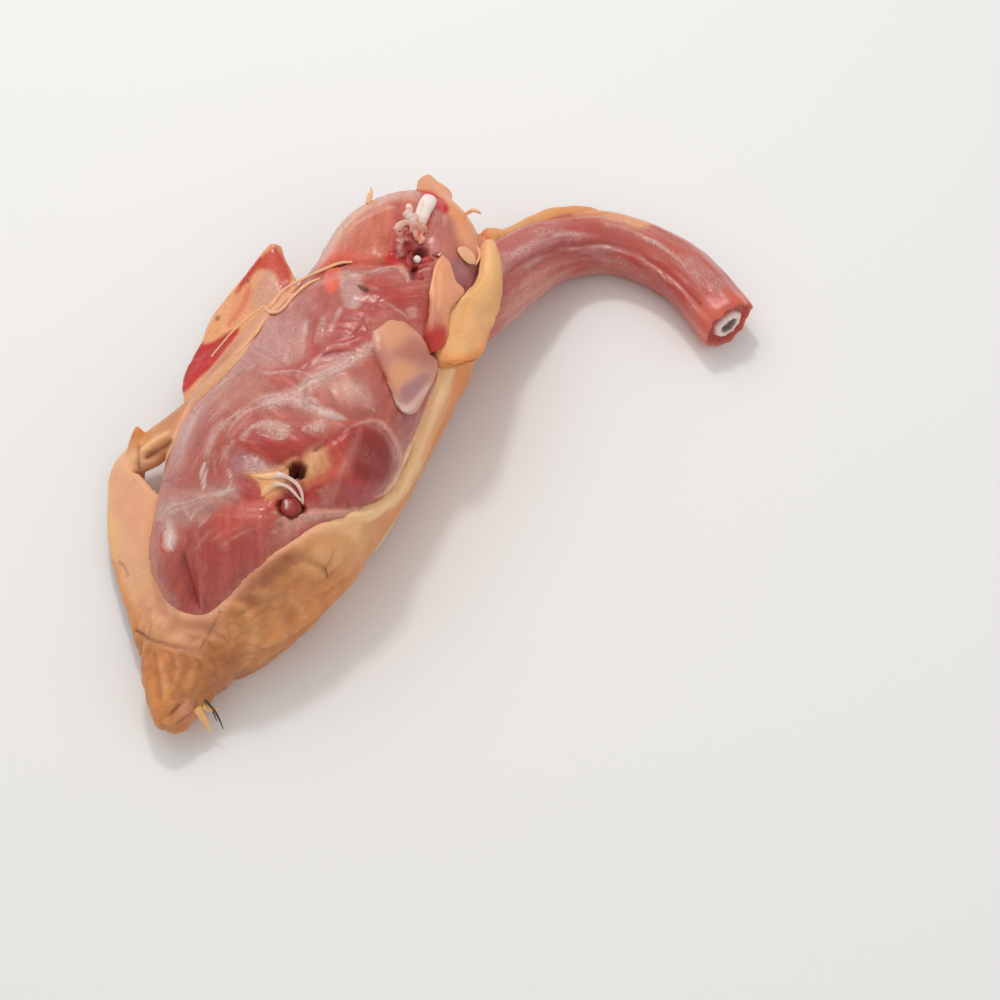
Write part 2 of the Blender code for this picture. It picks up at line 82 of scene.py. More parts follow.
camera_data = bpy.data.cameras.new("camera")
camera_data.lens = LENS
camera_data.sensor_width = SENSOR
camera = bpy.data.objects.new("camera", camera_data)
bpy.context.scene.collection.objects.link(camera)
turn = Matrix((TO_RIGHT, TO_TOP, TO_CAMERA)).transposed().to_4x4()
turn.translation = EYE * MM
camera.matrix_world = turn
bpy.context.scene.camera = camera
print("eye at", np.round(EYE, 1), "mm")

# %% [markdown]
# ## Helpers for shapes
#
# A smooth curve through a few rows of numbers gives every profile and edge. Lumps of random
# values that fade into each other stand for the unevenness of flesh. Blender's noise textures
# could give them too, but numbers worked out here can also move points and be stored in a mesh.
# They come from a seed, so each run makes the same carcass.

# %% Curves, steps and seeded unevenness
def ramp(low, high, value):
    """0 below low, 1 above high, and the S curve 3t^2 - 2t^3 between them."""
    t = np.clip((value - low) / (high - low), 0.0, 1.0)
    return t * t * (3 - 2 * t)


def unit(vectors):
    """Vectors over their own length."""
    return vectors / np.maximum(np.linalg.norm(vectors, axis=-1, keepdims=True), 1e-12)


def curve(keys, rows, at):
    """Cubic through the rows at their keys: each stretch has the slope of its neighbours at its ends."""
    keys, rows, at = (np.asarray(a, float) for a in (keys, rows, at))
    slopes = np.gradient(rows, keys, axis=0)
    i = np.clip(np.searchsorted(keys, at, side="right") - 1, 0, len(keys) - 2)
    step = (keys[i + 1] - keys[i])[..., None]
    t = (at - keys[i])[..., None] / step
    return (rows[i] * (2 * t**3 - 3 * t**2 + 1) + slopes[i] * step * (t**3 - 2 * t**2 + t)
            + rows[i + 1] * (3 * t**2 - 2 * t**3) + slopes[i + 1] * step * (t**3 - t**2))


def along_rows(rows, count):
    """Evenly numbered rows on the curve through the given ones."""
    rows = np.asarray(rows, float)
    return curve(np.arange(len(rows)), rows, np.linspace(0, len(rows) - 1, count))


def lumps(points, size, seed, octaves=3):
    """Random values on a lattice of that size in mm, blended by S curves, plus halves of half the size."""
    total, weight = 0.0, 0.0
    for octave in range(octaves):
        table = np.random.default_rng(seed + octave).uniform(-1, 1, (32, 32, 32))
        place = points / (size / 2**octave) + 500.0
        cell = np.floor(place).astype(int)
        t = place - cell
        t = t * t * (3 - 2 * t)
        value = 0.0
        for corner in np.ndindex(2, 2, 2):
            share = np.prod(np.where(np.array(corner), t, 1 - t), axis=-1)
            x, y, z = np.moveaxis((cell + corner) % 32, -1, 0)
            value = value + share * table[x, y, z]
        total = total + value / 2**octave
        weight += 1 / 2**octave
    return total / weight


print("lumps at the origin:", round(float(lumps(np.zeros((1, 3)), 5, 1)[0]), 3))

# %% [markdown]
# Muscles, films and cuts are drawn as outlines and bent lines. What a point needs to know is how
# far it lies from them, so these two helpers measure that for all points at once.

# %% Distances to lines and outlines
def segment_distance(places, start, end):
    """Distance from places to a straight stretch, and how far along it the nearest point is."""
    run = end - start
    t = np.clip(((places - start) @ run) / max(run @ run, 1e-9), 0, 1)
    return np.linalg.norm(places - start - t[:, None] * run, axis=1), t


def line_distance(places, line):
    """Signed offset from a bent line, the length passed at its nearest point, and its whole length."""
    line = along_rows(line, 4 * (len(line) - 1) + 1) if len(line) > 2 else line
    best, side, passed = np.full(len(places), 1e9), np.ones(len(places)), np.zeros(len(places))
    length = 0.0
    for start, end in zip(line[:-1], line[1:]):
        far, t = segment_distance(places, start, end)
        (run_x, run_y), (off_x, off_y) = end - start, (places - start).T
        nearer = far < best
        best[nearer] = far[nearer]
        side[nearer] = np.sign(run_x * off_y - run_y * off_x)[nearer]
        passed[nearer] = length + t[nearer] * np.hypot(run_x, run_y)
        length += np.hypot(run_x, run_y)
    return best * side, passed, length


def outline_distance(places, outline):
    """Signed distance to a closed outline, above zero inside it."""
    outline = along_rows((*outline, outline[0]), 3 * len(outline) + 1)
    best, inside = np.full(len(places), 1e9), np.zeros(len(places), bool)
    for a, b in zip(outline[:-1], outline[1:]):
        best = np.minimum(best, segment_distance(places, a, b)[0])
        crosses = (a[1] > places[:, 1]) != (b[1] > places[:, 1])
        rise = b[1] - a[1] if b[1] != a[1] else 1e-9
        inside ^= crosses & (places[:, 0] < (b[0] - a[0]) * (places[:, 1] - a[1]) / rise + a[0])
    return np.where(inside, best, -best)


print("middle of a unit square to its edge:",
      outline_distance(np.array([[0.5, 0.5]]), ((0, 0), (0.5, 0), (1, 0), (1, 1), (0, 1)))[0].round(2))

# %% [markdown]
# ## Helpers for meshes
#
# Three kinds of surface make nearly everything here. A closed tube runs rings round a body and
# shuts at both ends with a point. A pillow is a sheet with a top and a bottom that meet in a
# rounded rim, which is how a cut edge of skin looks. A patch is a pillow cut to an outline.

# %% Tubes, pillows and the object that holds them
def quads_of(index, wrap):
    """Four-sided faces of a grid of vertex numbers, closed in its second direction when wrap is true."""
    ahead = np.roll(index, -1, axis=1) if wrap else index[:, 1:]
    here = index if wrap else index[:, :-1]
    return np.stack([here[:-1], ahead[:-1], ahead[1:], here[1:]], axis=-1).reshape(-1, 4)


def closed_tube(rings):
    """Rings of points as vertices and faces, with a point in the middle of each end."""
    count, sides = rings.shape[:2]
    points = np.concatenate([rings.reshape(-1, 3), rings[:1].mean(1), rings[-1:].mean(1)])
    index = np.arange(count * sides).reshape(count, sides)
    ends = []
    for ring, middle, order in ((index[0], count * sides, 1), (index[-1], count * sides + 1, -1)):
        ends.append(np.stack([np.full(sides, middle), np.roll(ring, -order), ring], axis=-1))
    return points, [quads_of(index, True), *ends]


def grid_normals(grid):
    """Direction across the sheet: the cross product of its two slopes."""
    return unit(np.cross(np.gradient(grid, axis=0), np.gradient(grid, axis=1)))


def rim_distance(grid):
    """Length along the sheet from each point to the nearest of its four edges."""
    far = []
    for axis in (0, 1):
        step = np.linalg.norm(np.diff(grid, axis=axis), axis=-1)
        run = np.cumsum(np.insert(step, 0, 0.0, axis=axis), axis=axis)
        far += [run, run.max(axis=axis, keepdims=True) - run]
    return np.min(far, axis=0)


def sandwich(top, bottom, keep=None):
    """A sheet from its upper and lower grids, which meet in the middle along every edge of the kept cells."""
    rows, cols = top.shape[:2]
    keep = np.ones((rows - 1, cols - 1), bool) if keep is None else keep
    around = np.zeros((rows + 1, cols + 1), bool)
    around[1:-1, 1:-1] = keep
    inner = around[:-1, :-1] & around[1:, :-1] & around[:-1, 1:] & around[1:, 1:]
    middle = (top + bottom) / 2
    top = np.where(inner[..., None], top, middle)
    index = np.arange(rows * cols).reshape(rows, cols)
    below = np.where(inner, index + rows * cols, index)
    faces = [quads_of(index, False)[keep.ravel()], quads_of(below, False)[keep.ravel()][:, ::-1]]
    return np.concatenate([top.reshape(-1, 3), bottom.reshape(-1, 3)]), faces


def pillow(grid, half, keep=None):
    """A sheet of the given half thickness. Near its rim the half thickness follows a quarter circle."""
    near = np.clip(rim_distance(grid) / np.maximum(half, 1e-6), 0, 1)
    half = (half * np.sqrt(1 - (1 - near) ** 2))[..., None]
    normals = grid_normals(grid)
    return sandwich(grid + normals * half, grid - normals * half, keep)


def compact(points, faces):
    """The same surface without the vertices that no face uses."""
    used = np.unique(np.concatenate([f.ravel() for f in faces]))
    renumber = np.zeros(len(points), int)
    renumber[used] = np.arange(len(used))
    return points[used], [renumber[f] for f in faces]


def joined(parts):
    """Several surfaces as one list of vertices and faces."""
    points, faces, start = [], [], 0
    for part_points, part_faces in parts:
        points.append(part_points)
        faces += [f + start for f in part_faces]
        start += len(part_points)
    return np.concatenate(points), faces


def volume(points, faces):
    """Six times the signed volume: the sum over triangles of a . (b x c)."""
    total = 0.0
    for f in faces:
        for k in range(1, f.shape[1] - 1):
            a, b, c = points[f[:, 0]], points[f[:, k]], points[f[:, k + 1]]
            total += np.einsum("ij,ij->", a, np.cross(b, c))
    return total


def new_piece(name, points, faces, **stored):
    """An object from a surface in mm, turned outwards, with values kept on its points under their names."""
    points, faces = compact(points, faces)
    if volume(points, faces) < 0:
        faces = [f[:, ::-1] for f in faces]
    mesh = bpy.data.meshes.new(name)
    mesh.vertices.add(len(points))
    mesh.vertices.foreach_set("co", (points * MM).astype(np.float32).ravel())
    corners = np.concatenate([f.ravel() for f in faces])
    sizes = np.concatenate([np.full(len(f), f.shape[1]) for f in faces])
    mesh.loops.add(len(corners))
    mesh.loops.foreach_set("vertex_index", corners.astype(np.int32))
    mesh.polygons.add(len(sizes))
    mesh.polygons.foreach_set("loop_start", np.insert(np.cumsum(sizes)[:-1], 0, 0).astype(np.int32))
    mesh.update(calc_edges=True)
    mesh.validate()
    mesh.shade_smooth()
    obj = bpy.data.objects.new(name, mesh)
    bpy.context.scene.collection.objects.link(obj)
    store(obj, **stored)
    return obj


def store(obj, **stored):
    """Keep values on the points of a mesh under the names given."""
    for key, values in stored.items():
        values = np.asarray(values, np.float32)
        kind, field = {1: ("FLOAT", "value"), 3: ("FLOAT_VECTOR", "vector")}[1 if values.ndim == 1 else 3]
        if key.endswith("tissue"):
            kind, field = "FLOAT_COLOR", "color"
            values = np.concatenate([values, np.ones((len(values), 1), np.float32)], axis=1)
        obj.data.attributes.new(key, kind, "POINT").data.foreach_set(field, values.ravel())


def finish_piece(obj, material, node):
    """Give a piece its finish, tie it to the body, and hide the CAD solid it stands for."""
    obj.data.materials.clear()
    obj.data.materials.append(material)
    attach(obj, "root")
    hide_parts(node)
    triangles = sum(len(p.vertices) - 2 for p in obj.data.polygons)
    print(f"{obj.name}: {triangles} triangles")


# %% [markdown]
# ## The trunk as a formula
#
# The rib cage and hips make one long rounded body. Its section is a superellipse, whose width,
# height and ridge change along the body. A few soft swellings and hollows mark the cut thigh
# muscle, the two opened joints and the shoulder dome. It could be sculpted, but a formula can be
# asked again: it gives any point of the surface from the place along the body and the angle
# round it, and so it later lays skin, films and tendons on the meat.

# %% Trunk numbers
TRUNK_STATIONS = (       # place along the body, belly edge, back edge, top, height of the widest line
    (-100, -37, -22, 24, 14), (-88, -46, -13, 34, 17), (-66, -61, -2, 49, 22), (-32, -70, 7, 60, 26),
    (8, -65, 9, 63, 27), (45, -55, 8, 60, 26), (72, -53, 1, 53, 24), (97, -36, -20, 38, 21),
)
TAIL_END, FRONT_END = TRUNK_STATIONS[0][0], TRUNK_STATIONS[-1][0]
RIDGE_SHARE = 0.42       # the ridge's place between the back edge and the belly edge
ROUND_BELLY, ROUND_BACK = 2.0, 2.3
BELOW_SHARE = 1.12
CAP_LENGTH, CAP_ROUND = 16.0, 2.4
STEP_Y, STEP_ANGLE = 0.3, 0.012
SWELLINGS = (            # centre x and y, half length and width, turn in degrees, height
    (0, -29, 17, 14, 70, 2.8), (-32, -36, 28, 14, 20, 2.2), (-17, -47, 9, 7, 0, -5.0),
    (-26, -68, 20, 12, 50, 2.6), (-47, -76, 13, 10, 60, 2.4), (-40, -77, 13, 4, 110, -2.6),
    (-27, -19, 26, 8, 160, 1.6), (-34, 55, 24, 15, 100, 2.4), (-30, 38, 22, 5, 15, -2.4),
    (-17, 55, 9, 8, 60, -5.0),
)
SIDE_SWELLINGS = ((-60, -74, 21, 13, 3.6),)      # centre, radius and height of the thigh root at the belly
SKIN_THICK = 2.8
FLAT_FRONT_Y, FLAT_TAIL_Y = -36.0, -52.0
CLEAR = 0.4
BARE_WINDOW = (          # seen from above, the outline inside which no skin lies on the meat
    (-25, 125), (-25, 98), (-16, 77), (-11, 62), (-5, 52), (1, 44), (4, 34), (6.4, 21), (8.3, 6.2),
    (9.0, -5), (9.9, -16.2), (9.9, -21.6), (9.5, -27.5), (8.5, -33.2), (6.5, -38.3), (4.1, -42.3),
    (1.1, -45.6), (-2.3, -49.4), (-5.4, -52.7), (-8, -56.9), (-10.3, -61.2), (-13.5, -66.1), (-16.3, -70),
    (-18.6, -73.7), (-21, -77.4), (-24.1, -82.9), (-27.9, -87.8), (-30.6, -89.8), (-34, -90.4),
    (-39.3, -90.1), (-42.7, -89.1), (-46.5, -87.4), (-52.5, -83), (-58, -79), (-68, -74), (-84, -62),
    (-84, -46), (-69, -42.5), (-66.4, -38), (-66.6, -31), (-65.3, -24.2), (-60.3, -18.2), (-55.6, -9.7),
    (-53.9, -1.2), (-54, 10.7), (-53, 17), (-51.4, 22), (-49, 25), (-62, 31), (-72, 60), (-60, 125),
)


def at_stations(table, y):
    """The columns of a table of stations, each on a smooth curve, at places along the body."""
    return np.moveaxis(curve([row[0] for row in table], [row[1:] for row in table], y), -1, 0)


def section(y, angle):
    """Superellipse section: x from the ridge by cos^(2/n), z from the widest line by sin^(2/n)."""
    belly, back, top, middle = at_stations(TRUNK_STATIONS, y)
    to_end = np.minimum(y - TAIL_END, FRONT_END - y)
    bend = np.clip(1 - to_end / CAP_LENGTH, 0, 1)
    share = (1 - bend**CAP_ROUND) ** (1 / CAP_ROUND)
    ridge = back - RIDGE_SHARE * (back - belly)
    side, rise = np.cos(angle), np.sin(angle)
    power = 2 / np.where(side > 0, ROUND_BACK, ROUND_BELLY)
    width = np.where(side > 0, back - ridge, ridge - belly)
    height = np.where(rise > 0, top - middle, BELOW_SHARE * middle)
    x = ridge + width * share * np.sign(side) * np.abs(side) ** power
    z = middle + height * share * np.sign(rise) * np.abs(rise) ** power
    return np.stack(np.broadcast_arrays(x, y, z), axis=-1)


def swell(x, y):
    """Sum of bell curves, each on its own turned oval."""
    total = np.zeros_like(x)
    for cx, cy, half_long, half_wide, degrees, height in SWELLINGS:
        c, s = np.cos(np.radians(degrees)), np.sin(np.radians(degrees))
        along, across = (x - cx) * c + (y - cy) * s, (y - cy) * c - (x - cx) * s
        total += height * np.exp(-(along / half_long) ** 2 - (across / half_wide) ** 2)
    return total


def lies_at(y):
    """Height at which the meat lies on its own skin: the skin's thickness at the tail, none in front."""
    return SKIN_THICK * (1 - ramp(FLAT_TAIL_Y, FLAT_FRONT_Y, y))


def trunk(y, angle, lift=0.0):
    """Points of the trunk moved out by lift along its normal, and those normals.

    The normal is the cross product of two small steps, round the body and along it.
    """
    y, angle = np.broadcast_arrays(np.asarray(y, float), np.asarray(angle, float))
    ahead, behind = (section(np.clip(y + step, TAIL_END, FRONT_END), angle) for step in (STEP_Y, -STEP_Y))
    round_ = section(y, angle + STEP_ANGLE) - section(y, angle - STEP_ANGLE)
    normals = unit(np.cross(round_, ahead - behind))
    points = section(y, angle)
    normals *= np.sign(np.sum(normals * (points - section(y, angle + np.pi)), -1, keepdims=True) + 1e-9)
    upward = ramp(0.0, 0.5, normals[..., 2])
    out = swell(points[..., 0], points[..., 1]) * upward + lift
    for *centre, radius, height in SIDE_SWELLINGS:
        out = out + height * np.exp(-np.sum((points - centre) ** 2, axis=-1) / radius**2)
    points = points + normals * out[..., None]
    lift = np.broadcast_to(lift, y.shape)
    floor = lies_at(y) - lift
    floor = np.where(lift > 2 * CLEAR, np.maximum(floor, 0.0), floor)
    points[..., 2] = np.maximum(points[..., 2], floor)
    return points, normals


BACK_RIM = (             # place along the body and height of the skin's rim on the steep back
    (-100, 30), (-70, 34), (-52, 44), (-44.5, 45.8), (-41.2, 43.6), (-36.7, 41.2), (-30.9, 38.2),
    (-24.5, 35.4), (-18.6, 34.4), (-13.2, 34.8), (-4.7, 38.2), (2, 39.4), (8.2, 41.3), (14.4, 41.7),
    (18.6, 44), (22.9, 45), (28, 42), (36, 34), (50, 26), (97, 20),
)
SKIN_LOWEST_FRONT = 9.0
SKIN_FRONT_BACK, SKIN_FRONT_BELLY = 96.0, 26.0


def skin_depth(points):
    """How far in mm a place lies inside the skin, below zero on bare meat.

    It is the distance to the window's outline seen from above, the drop below the rim's height on
    the steep back, or the drop below the widest line of the section, whichever is most. It ends
    at the bare front and at the lower edge in front.
    """
    x, y, z = points[:, 0], points[:, 1], points[:, 2]
    widest = at_stations(TRUNK_STATIONS, y)[-1]
    depth = np.maximum(-outline_distance(points[:, :2], BARE_WINDOW), widest - 1.5 - z)
    depth = np.maximum(depth, np.minimum(at_stations(BACK_RIM, y)[0] - z, x - 0.5))
    tail = 60 * (1 - ramp(FLAT_TAIL_Y, FLAT_FRONT_Y, y))
    depth = np.minimum(depth, z - SKIN_LOWEST_FRONT + tail)
    front = np.where(x > -30, SKIN_FRONT_BACK, SKIN_FRONT_BELLY)
    return np.minimum(depth, front - y)


print("trunk top at y = 0:", np.round(trunk(0.0, np.pi / 2)[0], 1))

# %% [markdown]
# ## Painting tissues
#
# Raw meat isn't one colour. Thin membrane lies over it in grey-white films, fat shows beige, the
# cut thigh muscle is wine red, and fresh cuts are bright red. Each of those patches and lines is
# named below with its outline as it is seen in the photograph. Points of a mesh that face that
# way take the colour in the order of the table, and a patch or line can also stand proud or sink
# in, so the muscles have real borders and the films real edges. Everything that isn't seen from
# there keeps its base colour, which drifts in seeded lumps.
# Some rows paint light instead of tissue: the dark of pits, holes and creases is painted shade, and white and
# lilac glints on wet film and on the ball are painted highlights.

# %% Colours and the painting helpers
def linear(hex_colour):
    """sRGB hex turned to linear light by the standard curve."""
    value = np.array([int(hex_colour[i:i + 2], 16) for i in (1, 3, 5)]) / 255
    return np.where(value <= 0.04045, value / 12.92, ((value + 0.055) / 1.055) ** 2.4)


# Three colours also paint light: the near-black of pits, holes and slits and the brown of creases are painted
# shade, and the white is painted highlight on wet film as well as the colour of white tissue and bone. The
# near-black is also the pin feathers' own dark.
TISSUES = {name: linear(colour) for name, colour in {
    "flesh": "#b86052", "mauve": "#bb6d62", "pale": "#d49781", "deep": "#b43c35", "wine": "#8e2926",
    "lilac": "#bd8685", "violet": "#a0686f", "grey": "#cba195", "film": "#e4c3b6", "fat": "#eca873",
    "salmon": "#cd6c53", "orange": "#e4644b", "blood": "#c61411", "pit": "#4a1413", "cream": "#fbcd98",
    "peach": "#e99d75", "white": "#f4e3da", "socket": "#6d2323",
    "skin": "#d48d57", "butter": "#fabf82", "belly": "#f5ba8d", "amber": "#ea8f4a", "brown": "#8d4a2c",
    "shade": "#aa6a42", "pink": "#eaa285", "strand": "#efb588",
}.items()}


def tinted(colour, tissue, share):
    """Colours moved towards a tissue's by a share for each point: c + (t - c) s."""
    return colour + (TISSUES[tissue] - colour) * np.reshape(share, (-1, 1))


def outline_of(numbers):
    """Numbers taken two by two as pixel x and pixel y."""
    return np.reshape(np.asarray(numbers, float), (-1, 2))


print(len(TISSUES), "tissue colours")

# %% Laying the patches and lines on points
FACES_A_LITTLE, FACES_ENOUGH = -0.03, 0.08      # facing the camera, from no colour to full colour
WOBBLE, FINE_WOBBLE = 2.2, 0.8                  # pixels by which an edge wanders
WOBBLE_SIZE, FINE_SIZE = 7, 2.2                 # mm of the lumps that it wanders in
REACH = 14                                      # pixels outside its outline that a patch can tint
FILM_PATCH_TINT, FILM_LINE_TINT, FILM_WIDER = 0.25, 0.5, 1.35


def strands(along, across, number):
    """Share of film at a place in a band: streaks much longer than wide, which fade in and out."""
    streak = lumps(np.stack([along / 24, across / 1.5 + 5.3 * number, 0 * along + number], -1), 1.0, 303, 2)
    fade = lumps(np.stack([along / 15, 0 * along + 3.7 * number, 0 * along], -1), 1.0, 301, 2)
    return (0.2 + 0.8 * ramp(-0.4, 0.35, streak)) * (0.35 + 0.65 * ramp(-0.5, 0.3, fade))


def near_box(px, outline, reach, seen):
    """Numbers of the seen points whose pixel lies within reach of the box round an outline."""
    inside = (px > outline.min(0) - reach) & (px < outline.max(0) + reach)
    return np.nonzero(inside.all(1) & (seen > 0))[0]


def paint(points, normals, base, patches, lines, sharp=1.0):
    """Colour, height in mm and amount of film for each point, from the patches and lines of the tables."""
    seen = ramp(FACES_A_LITTLE, FACES_ENOUGH, normals @ TO_CAMERA)
    px = photo_place(points)
    wobble = np.stack([lumps(points, WOBBLE_SIZE, seed) for seed in (50, 60)], -1) * WOBBLE * sharp
    fine = np.stack([lumps(points, FINE_SIZE, seed, 2) for seed in (70, 80)], -1) * FINE_WOBBLE * sharp
    colour, height, film = base.copy(), np.zeros(len(points)), np.zeros(len(points))
    for tissue, amount, soft, rise, *outline in patches:
        outline = outline_of(outline)
        near = near_box(px, outline, REACH, seen)
        depth = outline_distance(px[near] + wobble[near] + fine[near], outline)
        share = ramp(-soft, soft, depth) * amount * seen[near]
        if tissue == "film":
            film[near] = np.maximum(film[near], share)
            share = share * FILM_PATCH_TINT
        colour[near] = tinted(colour[near], tissue, share)
        height[near] += rise * ramp(-2, max(soft, 9), depth) * seen[near]
    for number, (tissue, amount, half, rise, *line) in enumerate(lines):
        line = outline_of(line)
        half = half * FILM_WIDER if tissue == "film" else half
        near = near_box(px, line, 4 * half + 6, seen)
        offset, passed, length = line_distance(px[near] + fine[near] + 0.4 * wobble[near], line)
        share = passed / length
        taper = 0.35 + 0.65 * np.sqrt(np.clip(4 * share * (1 - share), 0, 1))
        profile = np.exp(-(offset / (half * taper)) ** 2) * seen[near]
        if tissue in ("film", "white"):
            profile = profile * strands(passed, offset, number)
            film[near] = np.maximum(film[near], profile * amount)
        if tissue != "none":
            share = profile * amount * (FILM_LINE_TINT if tissue == "film" else 1.0)
            colour[near] = tinted(colour[near], tissue, share)
        height[near] += rise * profile
    return colour, height, film


# %% [markdown]
# The tables below are the anatomy of the visible side: ribs and belly wall in front, the cut hip
# with its wine-red muscle and the opened socket, the two thigh roots at the tail, and the smooth
# shoulder dome. Each row has the tissue, how strongly it shows, how soft its edge is in pixels,
# how far it stands out in mm, and its outline as pixel x, pixel y, x, y and so on.

